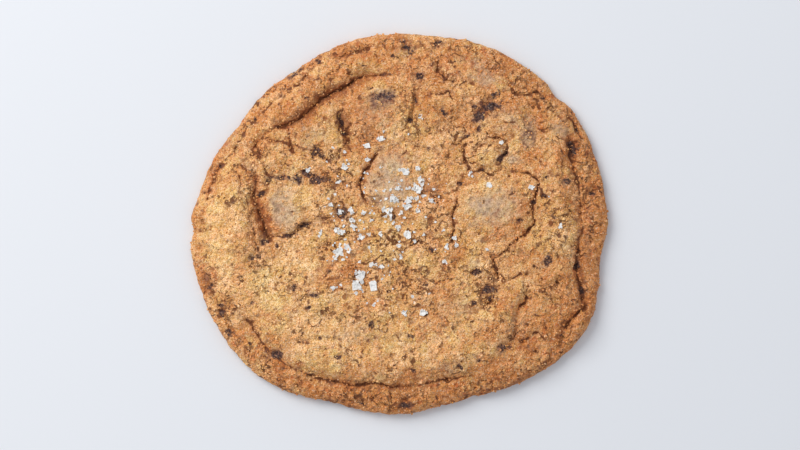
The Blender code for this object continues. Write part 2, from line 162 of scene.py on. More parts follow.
# Folds are rolled edges: crease depth, crease width, lip height, lip reach, then the crease line
# as x, y, strength. The lip rises on the left of the direction of travel.
FOLDS = {
    "inner fold": (
        2.8, 1.2, 1.7, 4.6,
        ((-36.0, -6.5, 0.0), (-38.9, -4.2, 0.8), (-40.2, -0.5, 1.0), (-41.5, 3.0, 1.0),
         (-43.0, 7.3, 0.8), (-42.7, 11.5, 0.5), (-43.2, 16.0, 0.3), (-44.0, 20.0, 0.4),
         (-42.6, 24.2, 0.5), (-38.0, 27.6, 0.35), (-33.2, 29.5, 0.7), (-29.5, 31.3, 0.8),
         (-26.0, 34.4, 0.9), (-22.5, 37.8, 1.0), (-18.0, 39.8, 1.0), (-14.5, 42.0, 1.0),
         (-11.0, 43.6, 0.9), (-7.0, 44.2, 0.5), (1.0, 44.0, 0.0)),
    ),
    "left terrace": (
        1.1, 0.8, 0.6, 3.5,
        ((-39.0, -13.0, 0.0), (-41.2, -8.5, 0.7), (-42.6, -5.0, 1.0), (-43.6, -1.0, 1.0),
         (-44.4, 4.0, 0.4), (-45.6, 8.0, 0.8), (-47.4, 9.5, 0.0)),
    ),
    "upper left groove": (
        1.3, 1.2, 1.1, 4.4,
        ((-7.0, 52.6, 0.0), (-12.0, 51.5, 1.0), (-17.0, 50.0, 0.9), (-23.0, 47.6, 0.3),
         (-28.0, 43.4, 0.7), (-34.0, 38.5, 0.4), (-42.5, 31.6, 0.6), (-50.0, 20.8, 0.6),
         (-54.5, 15.0, 0.8), (-57.2, 8.5, 0.6), (-59.4, -3.0, 0.1), (-58.6, -14.0, 0.3),
         (-55.0, -22.0, 0.5), (-50.0, -31.5, 0.3), (-46.0, -36.5, 0.0)),
    ),
    "bottom groove": (
        1.4, 0.8, 1.2, 3.8,
        ((-47.0, -26.5, 0.0), (-44.0, -30.0, 1.0), (-41.6, -34.2, 0.9), (-37.5, -39.0, 0.5),
         (-30.5, -43.6, 0.5), (-22.0, -46.3, 0.8), (-14.0, -48.2, 1.0), (-6.5, -47.6, 1.0),
         (0.0, -48.6, 0.8), (8.0, -47.3, 0.6), (14.0, -46.2, 0.7), (26.0, -44.6, 0.0)),
    ),
    "right groove": (
        1.7, 0.8, 1.0, 3.2,
        ((56.2, -27.5, 0.0), (54.7, -24.0, 0.6), (54.4, -20.3, 1.0), (53.8, -16.8, 0.8),
         (52.8, -13.0, 1.0), (53.0, -9.0, 0.9), (54.2, -4.0, 0.4), (54.5, 2.0, 0.4),
         (53.5, 9.0, 0.5), (52.3, 15.0, 0.5), (51.2, 20.5, 1.0), (51.0, 23.5, 0.9),
         (49.6, 27.5, 0.0)),
    ),
    "lower right tuck": (
        1.8, 0.9, 1.2, 3.0,
        ((57.5, -23.0, 0.0), (55.4, -24.8, 0.8), (53.6, -26.6, 1.0), (50.9, -29.2, 1.0),
         (49.3, -32.0, 0.6), (47.5, -37.0, 0.0)),
    ),
    "upper right groove": (
        1.0, 0.7, 0.4, 2.5,
        ((54.6, 23.5, 0.0), (53.0, 27.8, 1.0), (51.2, 30.8, 0.8), (48.8, 34.0, 0.0)),
    ),
    "right ridge crease": (
        1.4, 0.7, 1.1, 3.0,
        ((31.5, -37.5, 0.0), (34.6, -33.0, 0.5), (34.6, -28.5, 0.6), (35.8, -25.2, 1.0),
         (38.2, -22.0, 1.0), (38.3, -16.5, 0.0)),
    ),
}

# Cracks in the crust: depth, width, then the line as x, y
CRACKS = {
    "right plate, far side": (
        1.6, 0.43,
        ((33.0, 15.4), (37.6, 15.3), (40.2, 13.8), (41.6, 11.4), (40.1, 6.2), (40.2, 2.0),
         (40.5, 0.2), (37.8, -2.8), (33.2, -6.4), (30.6, -9.0), (28.4, -10.4), (29.3, -14.5),
         (30.2, -20.2)),
    ),
    "right plate, near side": (
        1.3, 0.43,
        ((17.6, 9.4), (16.9, 6.0), (15.6, 2.8), (16.3, -1.0), (16.0, -4.2), (17.4, -7.4)),
    ),
    "right plate, top": (
        1.1, 0.39,
        ((20.2, 24.2), (19.0, 22.0), (20.2, 18.0), (21.6, 15.7), (24.4, 15.9), (27.6, 14.5),
         (29.2, 16.0)),
    ),
    "branch to the rim": (1.0, 0.39, ((41.6, 11.4), (43.0, 8.6), (45.4, 8.3))),
    "upper right": (
        1.3, 0.39,
        ((25.1, 29.0), (26.7, 25.6), (30.4, 25.1), (32.3, 22.9), (31.4, 20.7), (29.6, 19.2)),
    ),
    "centre plate, left side": (
        1.7, 0.47,
        ((-5.6, 22.6), (-8.2, 18.2), (-11.3, 13.8), (-11.4, 10.4), (-9.6, 7.0), (-8.6, 3.8)),
    ),
    "top valley": (
        2.0, 0.78,
        ((-16.2, 35.2), (-17.5, 31.8), (-17.0, 28.4), (-15.0, 25.4), (-15.6, 20.8)),
    ),
    "upper seam": (1.2, 0.55, ((5.2, 41.0), (4.3, 36.4), (3.2, 31.0), (2.4, 27.4))),
    "top notch": (1.0, 0.39, ((12.2, 50.2), (11.2, 46.6), (13.7, 43.2), (18.6, 42.0))),
    "top block": (0.9, 0.39, ((9.4, 38.6), (14.6, 39.0), (15.8, 37.6), (16.0, 34.8))),
    "right of the top": (0.8, 0.39, ((33.0, 41.0), (34.4, 38.6), (38.6, 38.4), (41.2, 39.8), (42.6, 37.8))),
    "left plate, upper left": (0.9, 0.39, ((-41.8, 20.8), (-40.2, 16.6), (-38.4, 13.4), (-39.6, 9.8))),
    "left plate, below": (
        1.1, 0.47,
        ((-39.2, -4.4), (-35.0, -3.6), (-31.6, -3.1), (-28.6, -0.6), (-25.6, 0.6)),
    ),
    "upper left, short": (1.0, 0.39, ((-33.4, 29.2), (-32.6, 25.0), (-32.4, 22.4), (-30.9, 20.2))),
    "left shelf": (1.0, 0.47, ((-45.5, 19.4), (-42.2, 21.4), (-42.4, 24.4), (-38.6, 24.4), (-34.6, 24.6))),
    "left ripple": (0.8, 0.39, ((-48.4, 15.6), (-47.2, 12.6), (-47.6, 8.4))),
    "left of centre": (0.6, 0.39, ((-26.2, -3.4), (-22.3, -7.1), (-20.3, -8.6))),
    "below centre": (0.8, 0.39, ((1.8, -7.8), (4.4, -5.6), (6.6, -5.2), (8.6, -6.6))),
    "lower centre": (0.8, 0.39, ((-6.0, -19.4), (-2.8, -20.2), (-0.4, -21.8))),
    "lower right plate": (1.0, 0.39, ((28.6, -22.4), (26.4, -23.8), (24.8, -25.6))),
    "right, short": (0.9, 0.39, ((47.4, -13.4), (47.4, -16.6), (46.8, -19.8), (49.2, -24.2))),
    "lower right": (0.8, 0.39, ((9.6, -45.2), (12.6, -43.6), (16.2, -43.9), (18.4, -42.2))),
    "small loop": (0.9, 0.39, ((30.0, -14.4), (31.8, -16.5), (33.8, -16.2), (36.0, -15.0), (39.6, -14.9))),
    "below the ridge": (0.7, 0.39, ((34.8, -33.6), (37.4, -34.8), (41.0, -32.4), (43.8, -35.3))),
}

# Low mounds over the chocolate just under the crust: x, y, half length, half width, turn, lift
MOUNDS = (
    (-34.2, 4.6, 8.0, 6.0, 100, 1.2),
    (-3.0, 11.5, 9.5, 8.0, 70, 1.1),
    (27.5, 5.0, 11.5, 8.5, 15, 1.2),
    (-6.8, 33.0, 8.8, 8.0, 80, 1.1),
    (38.0, -9.0, 8.5, 5.5, 20, 1.0),
    (31.5, 30.5, 5.2, 4.5, 0, 0.6),
    (25.5, 22.0, 5.0, 5.0, 0, 0.6),
    (10.5, 33.0, 5.5, 5.0, 0, 0.5),
    (-25.5, 25.5, 7.0, 5.0, 30, 0.5),
    (-24.0, 6.5, 4.5, 4.5, 0, 0.5),
    (6.5, -11.0, 6.5, 4.0, 10, 0.5),
    (31.0, -28.5, 6.5, 4.0, 55, 0.8),
)

# Broad rises and hollows of the whole cookie: x, y, half length, half width, turn, lift
SWELLS = (
    (-51.0, 0.0, 26.0, 7.0, 95, 1.2),
    (-30.0, 39.0, 24.0, 6.0, 38, 0.9),
    (6.0, 49.0, 24.0, 6.0, 0, 0.4),
    (-28.0, -27.0, 24.0, 13.0, -25, 0.7),
    (6.0, -39.0, 30.0, 8.0, 0, 0.7),
    (47.0, -4.0, 24.0, 6.5, 95, 0.7),
    (2.0, 10.0, 34.0, 25.0, 0, -0.9),
    (38.0, -31.0, 8.0, 4.5, 60, -0.8),
)

# The larger salt flakes: x, y, width, thickness
SALT_FLAKES = (
    (2.1, 6.3, 3.4, 1.1), (-4.0, 3.6, 3.2, 1.0), (-2.0, 7.8, 1.9, 0.8), (1.7, 15.5, 2.2, 0.9),
    (6.0, 13.0, 2.5, 0.9), (5.7, 10.4, 2.3, 0.9), (-11.7, -15.8, 3.3, 1.1),
    (-12.8, -18.5, 2.8, 1.0), (-7.8, -18.5, 3.0, 1.0), (-17.8, -8.1, 2.8, 1.0),
    (-15.2, -7.2, 2.4, 0.9), (-13.3, -0.6, 2.2, 0.9), (-18.4, -1.9, 2.0, 0.7),
    (2.5, -3.0, 2.4, 0.9), (-11.2, -4.0, 1.9, 0.8), (14.0, -6.8, 1.9, 0.8), (-9.6, 23.4, 2.1, 0.8),
    (-5.5, 25.4, 1.9, 0.7), (-16.5, 16.8, 2.2, 0.8), (7.0, -26.4, 2.1, 0.8), (1.7, -26.2, 1.7, 0.7),
    (26.5, 11.7, 2.0, 0.8), (-27.0, 16.0, 1.5, 0.7), (-14.5, 4.0, 1.8, 0.8), (-8.3, -12.0, 1.8, 0.7),
    (-7.4, -24.0, 1.6, 0.7), (-5.6, -3.1, 1.6, 0.7), (5.5, 4.0, 1.5, 0.7),
)
SALT_CENTRE = (-2.0, 0.0)
SALT_SPREAD = 15.0

# Where splinters gather: x, y, spread
SALT_HEAPS = (
    (-0.5, 6.5, 4.0), (-10.5, -17.0, 4.5), (-17.0, -5.0, 4.5), (-16.0, 14.0, 5.0), (-14.5, 0.0, 3.5),
    (6.0, 10.0, 4.0), (-0.5, 6.5, 3.0), (0.0, -6.0, 7.0),
)

# Chocolate that breaks through the crust: x, y, half length, half width, turn, how much of it shows
CHOCOLATE = (
    (-38.6, 13.0, 1.3, 0.7, 50, 0.8), (-41.2, 8.7, 1.1, 0.7, 30, 0.9), (-34.6, 13.8, 2.5, 0.9, -5, 0.5),
    (-30.4, 13.2, 1.4, 1.3, 0, 0.9), (-27.6, 14.7, 1.6, 0.9, -20, 1.0),
    (-24.7, 13.2, 2.0, 1.3, -10, 1.0), (-21.6, 13.0, 1.2, 0.6, 20, 0.5),
    (-24.8, 21.6, 1.7, 1.1, 70, 0.9), (-22.9, 20.1, 1.2, 0.6, -30, 0.9), (-17.0, 3.3, 1.8, 1.5, 0, 1.0),
    (-17.2, 29.2, 3.4, 0.7, 105, 0.8), (-3.8, 38.0, 2.7, 1.7, 0, 0.6), (-7.2, 37.8, 1.6, 1.0, 30, 0.4),
    (-8.3, 40.4, 0.6, 0.5, 0, 0.9), (6.0, 43.8, 1.4, 1.1, -30, 0.9), (1.9, 52.5, 1.4, 0.9, 0, 0.8),
    (3.2, 51.2, 1.1, 0.8, 0, 0.5), (0.9, 54.5, 1.2, 0.5, 0, 0.7), (12.0, 54.1, 1.8, 0.6, 0, 0.7),
    (4.6, 37.2, 0.8, 1.6, 20, 0.5), (3.2, 30.9, 1.4, 0.8, 20, 0.7), (-28.0, 37.4, 1.3, 0.6, -15, 0.7),
    (-31.2, 44.7, 1.9, 0.6, 35, 0.7), (-24.2, 48.5, 0.9, 0.7, -50, 0.8),
    (-43.1, 31.5, 1.0, 0.4, 35, 0.8), (-10.6, 47.1, 0.6, 0.4, 0, 0.8), (-1.9, 50.3, 0.5, 0.4, 0, 0.9),
    (23.8, 31.8, 2.0, 1.5, 30, 1.0), (27.0, 34.8, 2.6, 1.2, 10, 1.0), (22.7, 34.9, 1.4, 0.6, -20, 0.8),
    (28.6, 38.3, 2.0, 1.4, 60, 0.5), (13.0, 33.2, 1.3, 0.8, -20, 0.5), (42.8, 37.6, 0.7, 0.6, 0, 0.9),
    (53.0, 28.0, 1.3, 0.5, 115, 0.8), (51.6, 22.4, 2.6, 0.8, 105, 0.75), (53.6, 22.8, 0.9, 0.6, 30, 0.7),
    (43.8, 13.9, 0.8, 0.5, 30, 0.9), (49.7, 12.4, 1.2, 0.9, 60, 0.7), (43.1, 8.3, 0.7, 0.5, 0, 0.9),
    (57.3, 9.0, 0.9, 0.6, 0, 0.8), (40.1, 6.3, 0.7, 0.5, 0, 0.9), (36.4, 1.3, 1.0, 0.5, 0, 0.8),
    (45.8, 1.8, 0.5, 0.5, 0, 0.8), (29.9, 19.3, 1.0, 0.9, 0, 1.0), (31.5, 20.6, 0.9, 0.5, 30, 0.9),
    (18.4, 11.9, 0.9, 0.6, 10, 0.8), (20.3, 26.0, 0.8, 0.6, 0, 0.5), (23.9, 28.2, 0.4, 1.1, -10, 0.8),
    (8.8, 22.0, 0.5, 0.5, 0, 0.7), (25.0, 16.4, 1.2, 0.5, 20, 0.7), (38.6, 27.0, 1.2, 0.8, 60, 0.3),
    (44.3, -10.6, 1.5, 1.0, 75, 0.9), (53.0, -12.6, 1.3, 0.8, 40, 0.8),
    (54.3, -19.7, 1.4, 0.7, 85, 0.9), (23.2, -14.3, 1.6, 0.8, 20, 0.9), (26.7, -19.6, 1.8, 1.3, 0, 1.0),
    (27.2, -22.2, 1.1, 0.7, 20, 0.8), (27.4, -16.2, 0.6, 0.5, 0, 0.7), (22.2, -23.6, 0.9, 0.6, 20, 0.8),
    (30.9, -36.8, 1.6, 1.1, 10, 0.6), (23.7, -40.6, 0.7, 0.5, 0, 0.7), (9.3, -7.8, 0.9, 0.6, 10, 0.8),
    (7.9, -17.9, 0.9, 0.5, 30, 0.7), (8.0, -26.9, 0.6, 0.4, 0, 0.8), (3.5, -33.2, 1.1, 0.9, 0, 0.6),
    (4.0, -43.8, 0.9, 0.6, 0, 1.0), (18.1, -42.5, 0.9, 0.5, -30, 0.9), (2.0, -54.2, 1.6, 0.7, 0, 0.9),
    (-12.0, -53.6, 1.2, 0.5, 0, 0.5), (-43.6, -10.2, 1.0, 0.7, 40, 0.9),
    (-41.8, -9.8, 0.9, 0.7, 0, 0.5), (-40.2, -5.2, 1.3, 0.7, 0, 0.8), (-32.4, -3.3, 2.0, 0.6, 5, 0.8),
    (-28.2, -0.6, 1.6, 0.5, 25, 0.9), (-36.4, -6.7, 0.5, 0.8, 0, 0.7),
    (-56.8, -18.8, 1.1, 0.6, 60, 0.8), (-53.0, -26.8, 1.1, 1.0, 0, 0.9),
    (-53.3, -24.4, 1.0, 0.5, 0, 0.8), (-50.8, -32.4, 1.1, 0.8, 70, 0.7),
    (-44.4, -35.7, 0.5, 0.5, 0, 0.9), (-43.9, -23.3, 0.6, 0.4, 0, 0.8),
    (-31.3, -18.7, 1.3, 0.9, 60, 0.8), (-25.2, -21.1, 1.5, 0.7, 0, 0.8),
    (-29.0, -22.6, 0.9, 0.6, 40, 0.5), (-26.9, -24.6, 1.0, 0.4, 0, 0.8),
    (-20.7, -14.0, 0.5, 0.5, 0, 0.9), (-37.0, -38.7, 1.8, 1.2, -10, 0.9),
    (-17.4, -36.3, 0.5, 0.5, 0, 0.8), (-17.9, -39.6, 0.8, 0.6, 30, 0.9),
    (-8.2, -29.9, 1.0, 0.9, 0, 0.8), (-2.9, -20.2, 0.8, 0.4, 20, 0.8), (-1.6, 2.3, 0.7, 0.6, 0, 0.9),
    (-53.6, 17.2, 1.2, 0.8, 50, 0.4), (-23.8, -34.0, 0.8, 0.5, -40, 0.6),
    (-39.4, -20.2, 0.7, 0.6, 40, 0.5), (48.6, -33.0, 0.6, 0.5, 0, 0.5),
)

# Thin crust over chocolate, greyer and smoother: x, y, half length, half width, turn, strength
THIN_CRUST = (
    (-34.2, 4.6, 7.0, 4.8, 100, 0.85), (-36.5, 5.0, 3.6, 1.0, 125, 1.0), (-2.5, 12.5, 10.0, 7.5, 75, 0.9),
    (-7.0, 32.0, 8.0, 6.5, 80, 0.3), (-5.0, 37.0, 4.0, 3.0, 0, 0.6), (27.5, 5.0, 10.0, 6.5, 15, 0.7),
    (26.0, 5.5, 6.0, 4.5, 0, 1.0), (38.0, -9.0, 6.5, 5.0, 20, 0.15), (32.0, 31.0, 6.0, 4.0, 0, 0.4),
    (38.5, 27.0, 4.6, 2.6, 85, 0.5), (25.0, 43.5, 5.0, 3.0, -10, 0.7), (22.0, 48.0, 4.0, 2.2, -10, 0.6),
    (-51.0, 23.5, 3.2, 1.5, 55, 0.15), (-45.0, 17.5, 2.6, 1.6, 60, 0.2), (-12.0, -33.0, 8.0, 2.2, 0, 0.35),
    (18.0, -25.0, 4.0, 3.0, 0, 0.4), (48.0, 28.0, 3.4, 2.2, -40, 0.6),
    (-25.5, 25.0, 5.0, 3.5, 30, 0.5), (-28.3, 28.2, 1.2, 1.0, 0, 0.9), (34.0, 19.0, 3.2, 1.6, 0, 0.7),
    (22.0, -12.0, 2.0, 1.6, 0, 0.6), (-24.0, 1.0, 3.0, 1.6, 20, 0.5), (15.0, -42.5, 3.0, 1.8, 0, 0.4),
)

# Brown-grey veils where chocolate has melted through: x, y, half length, half width, turn, strength.
# Over 1, the paler parts of the veil are dark as well.
SMUDGES = (
    (38.5, 27.5, 5.2, 2.8, 85, 1.1), (-36.5, 5.0, 3.6, 1.0, 125, 0.9), (-4.8, 36.6, 4.6, 3.2, 0, 1.3),
    (26.0, 4.5, 5.5, 3.0, 0, 0.35), (30.0, 33.0, 4.5, 2.4, 10, 0.5), (2.0, 52.0, 3.2, 3.6, 90, 0.6),
    (5.2, 43.8, 2.4, 1.6, 0, 0.7), (12.6, 34.0, 2.0, 1.6, 0, 0.6), (27.0, 47.0, 7.0, 3.0, -20, 0.35),
    (11.0, 54.0, 3.0, 1.4, 0, 0.4), (48.6, 30.0, 6.5, 1.8, 100, 0.4), (-29.0, 29.2, 2.0, 1.4, 0, 0.5),
    (-32.0, 45.6, 3.4, 1.4, 40, 0.7), (-24.0, 49.2, 2.4, 1.2, 30, 0.6), (-51.0, 25.0, 5.0, 2.4, 50, 0.35),
    (-45.2, 17.0, 3.0, 1.6, 110, 0.4), (-6.8, 6.6, 3.4, 2.4, 60, 0.5), (9.6, 10.4, 2.6, 2.0, 0, 0.6),
    (-0.4, -32.8, 2.8, 1.6, 0, 0.4), (-8.2, -33.2, 2.8, 1.4, 0, 0.5), (-12.2, -27.0, 2.2, 1.6, 0, 0.5),
    (30.4, -37.4, 3.0, 2.0, 40, 0.7), (-20.0, -33.2, 4.4, 1.6, 0, 0.35), (34.0, -31.0, 4.5, 3.5, 60, 0.3),
    (-57.6, -15.6, 3.0, 1.8, 90, 0.5), (56.5, -6.0, 11.0, 1.6, 90, 0.35), (26.5, -18.5, 3.4, 2.6, 90, 0.5),
    (-16.8, 3.6, 3.6, 2.6, 90, 0.5), (-24.6, 13.6, 5.5, 2.0, 0, 0.4), (25.5, 35.4, 4.0, 2.6, 20, 0.6),
    (-9.0, -33.0, 9.0, 2.2, 0, 0.2), (-19.5, 20.6, 3.0, 2.4, 0, 0.25), (49.0, 12.6, 2.4, 1.6, 0, 0.5),
)

# Crust baked darkest in the folds and valleys, partly real browning and partly painted shade: x, y, half
# length, half width, turn, strength
BURNT_AND_SHADED = (
    (-41.0, 1.2, 9.0, 1.9, 98, 0.8), (-25.4, 35.6, 10.0, 2.6, 40, 0.8), (-16.2, 29.0, 7.0, 1.8, 100, 0.9),
    (-12.8, 42.4, 6.0, 1.8, 15, 0.8), (-5.0, -47.8, 24.0, 1.6, -2, 0.5), (54.0, -16.0, 9.5, 1.8, 95, 0.9),
    (51.6, 23.0, 7.0, 2.0, 100, 0.9), (-44.0, -31.5, 7.0, 1.8, -50, 0.5), (53.6, 0.0, 14.0, 1.6, 92, 0.5),
    (40.4, 6.5, 7.0, 1.2, 90, 0.4), (16.4, 0.0, 9.0, 1.2, 90, 0.4), (-10.4, 14.0, 9.0, 1.6, 65, 0.5),
    (30.8, 22.0, 3.5, 2.2, -40, 0.6), (26.5, -19.0, 6.0, 2.2, 80, 0.6), (49.6, -31.0, 7.0, 1.8, 50, 0.6),
    (-43.8, 13.0, 6.5, 1.5, 85, 0.5), (-47.4, 7.0, 6.0, 1.2, 85, 0.4), (35.6, -25.0, 7.0, 1.4, 65, 0.4),
    (56.2, -26.0, 5.0, 2.5, -60, 0.5), (-57.6, -18.0, 4.0, 1.8, 100, 0.7),
    (-53.4, -26.4, 2.4, 1.6, 60, 0.6),
    (1.8, -54.0, 4.0, 2.0, 0, 0.9), (-12.0, -52.4, 4.0, 1.2, 0, 0.6), (-28.0, 43.6, 7.0, 1.4, 40, 0.5),
    (-12.0, 52.0, 11.0, 1.4, 15, 0.6), (12.0, 47.4, 4.4, 1.0, 80, 0.5), (-31.4, -19.4, 4.0, 2.4, -20, 0.5),
    (57.4, 9.4, 2.4, 1.6, 0, 0.7), (32.6, -49.0, 3.0, 1.6, 20, 0.7), (20.6, -51.0, 4.0, 1.4, 15, 0.5),
    (24.4, 33.0, 4.0, 3.0, 40, 0.6), (4.6, 38.0, 6.0, 1.6, 90, 0.5), (15.6, 37.4, 3.0, 1.2, 90, 0.4),
    (-36.0, 29.0, 6.0, 2.0, 20, 0.4), (43.6, 10.0, 3.0, 2.0, 0, 0.4), (18.0, 12.0, 4.4, 1.8, 65, 0.6),
    (32.0, -49.4, 12.0, 2.2, 22, 0.8), (-22.0, -16.0, 9.0, 5.0, -40, 0.25),
    (2.0, 20.4, 6.0, 1.5, -10, 0.45),
    (12.6, -13.0, 3.6, 1.6, 70, 0.6), (22.0, -25.6, 4.4, 2.0, 0, 0.45), (31.0, -18.0, 3.4, 1.6, 90, 0.5),
    (6.4, -30.0, 4.2, 1.3, 105, 0.5), (-17.4, -36.4, 3.2, 1.1, 80, 0.5), (43.2, 0.4, 2.6, 1.3, 20, 0.5),
    (44.2, 15.0, 3.2, 1.6, 30, 0.5), (40.2, -17.4, 2.6, 1.3, 0, 0.5), (21.6, 15.4, 2.4, 1.3, 70, 0.8),
    (18.0, 50.2, 4.2, 1.6, 0, 0.5), (9.4, 47.0, 2.2, 1.1, -30, 0.5), (6.6, 42.0, 2.4, 1.6, 80, 0.4),
    (34.0, 26.0, 2.6, 1.3, 60, 0.5), (13.4, 27.6, 3.2, 1.3, 10, 0.5), (-36.4, 25.4, 4.4, 1.6, 0, 0.4),
    (-52.6, 17.4, 3.2, 1.1, 55, 0.6), (-51.4, 24.4, 2.6, 1.4, 55, 0.35),
    (-55.2, -14.0, 3.2, 1.3, -50, 0.5), (-23.6, -12.6, 2.2, 1.6, 130, 0.6),
    (-9.4, 15.4, 1.8, 1.2, 30, 0.8), (-14.8, -54.2, 3.4, 1.2, -15, 0.5), (-37.0, -13.0, 2.8, 1.3, 0, 0.4),
    (5.4, -45.6, 3.4, 1.2, 0, 0.5), (37.6, -29.4, 2.4, 1.4, 0, 0.5), (14.0, -51.4, 3.0, 1.2, 0, 0.5),
    (-26.0, -19.4, 3.4, 1.4, 20, 0.4), (17.0, 42.6, 2.6, 1.4, 90, 0.5),
    (4.0, 28.4, 2.0, 1.6, 0, 0.5), (-42.0, 14.6, 3.0, 1.2, 90, 0.5), (-5.0, -26.0, 3.6, 1.6, 0, 0.35),
    (13.6, -11.0, 1.6, 1.2, 0, 0.8), (12.4, -15.4, 1.8, 1.2, 0, 0.8), (1.6, 19.0, 2.4, 1.4, 0, 0.7),
    (-6.6, -39.0, 1.8, 1.2, 0, 0.7), (-39.4, 10.4, 1.4, 1.2, 0, 0.8), (-15.2, -21.4, 2.0, 1.4, 0, 0.7),
    (-36.6, 23.6, 4.0, 1.3, 0, 0.6), (-54.6, -16.0, 3.0, 1.6, -40, 0.5), (56.2, -15.6, 1.6, 2.6, 0, 0.5),
    (7.0, 53.0, 3.0, 1.6, 0, 0.6), (20.0, 42.6, 3.4, 1.8, 0, 0.5), (-22.4, 37.0, 4.0, 1.4, 60, 0.5),
    (-14.0, 42.6, 5.0, 1.2, 20, 0.6), (-24.0, -20.4, 2.4, 1.6, 0, 0.5), (-7.4, 44.0, 1.6, 1.2, 0, 0.7),
    (-17.0, 34.6, 1.6, 1.4, 0, 0.6), (-17.2, 33.8, 2.4, 1.8, 90, 0.7), (-21.4, 31.0, 2.0, 1.6, 0, 0.5),
    (36.0, 19.2, 1.4, 1.2, 0, 0.6),
    (-29.8, -48.0, 2.6, 0.9, 95, 0.9), (-19.0, -52.6, 4.0, 1.0, -10, 0.6), (30.0, -48.6, 3.0, 1.2, 30, 0.7),
    (38.0, -45.4, 4.0, 1.6, 30, 0.7), (25.0, -50.0, 3.4, 1.2, 15, 0.7), (43.4, -42.6, 3.0, 1.4, 40, 0.6),
)

# Where the painted shade of folds and cracks is weakened: x, y, half length, half width, turn, strength
FADED_FOLD_SHADE = (
    (-55.6, -21.0, 13.0, 3.6, 113, 0.85), (34.2, -31.0, 5.5, 3.0, 80, 0.6), (3.2, 33.0, 6.0, 2.6, 80, 0.8),
    (-29.6, -1.0, 4.0, 2.0, 20, 0.7), (-45.4, 6.0, 7.0, 2.6, 95, 0.7), (-41.4, 26.4, 4.0, 3.6, 20, 0.6),
    (-43.6, -3.0, 5.0, 1.6, 95, 0.5), (51.2, 24.6, 3.6, 2.6, 100, 0.4), (-41.0, -41.4, 5.0, 2.6, -40, 0.5),
    (47.0, -17.0, 5.0, 2.0, 90, 0.5), (16.2, -43.6, 4.6, 2.2, 10, 0.6), (-49.5, 7.2, 4.0, 3.2, 0, 0.9),
    (-22.0, 47.4, 5.0, 2.4, 25, 0.5), (-9.6, 45.2, 3.0, 1.6, 0, 0.6), (36.5, 43.0, 4.0, 2.6, -30, 0.7),
    (45.0, 35.2, 3.0, 2.2, -40, 0.7), (17.0, 27.0, 2.8, 2.4, 0, 0.7), (-19.6, 33.4, 2.6, 2.4, 0, 0.6),
    (-8.2, -51.0, 3.4, 2.0, 0, 0.7), (2.0, -48.8, 2.8, 1.6, 0, 0.6), (-3.4, -43.4, 2.8, 2.2, 0, 0.6),
    (12.6, 3.0, 2.2, 2.8, 0, 0.6), (28.2, -12.8, 2.4, 2.4, 0, 0.2), (15.0, -13.6, 2.4, 2.0, 0, 0.6),
    (-43.5, -13.0, 3.4, 1.8, 0, 0.8), (-30.4, -1.4, 2.0, 1.6, 30, 1.0), (-50.0, -24.6, 2.6, 1.8, 0, 0.7),
    (-52.4, -30.8, 3.4, 2.2, -60, 0.8), (-59.6, -15.6, 2.4, 2.2, 90, 0.8), (-59.0, 4.6, 2.0, 3.0, 0, 0.8),
)

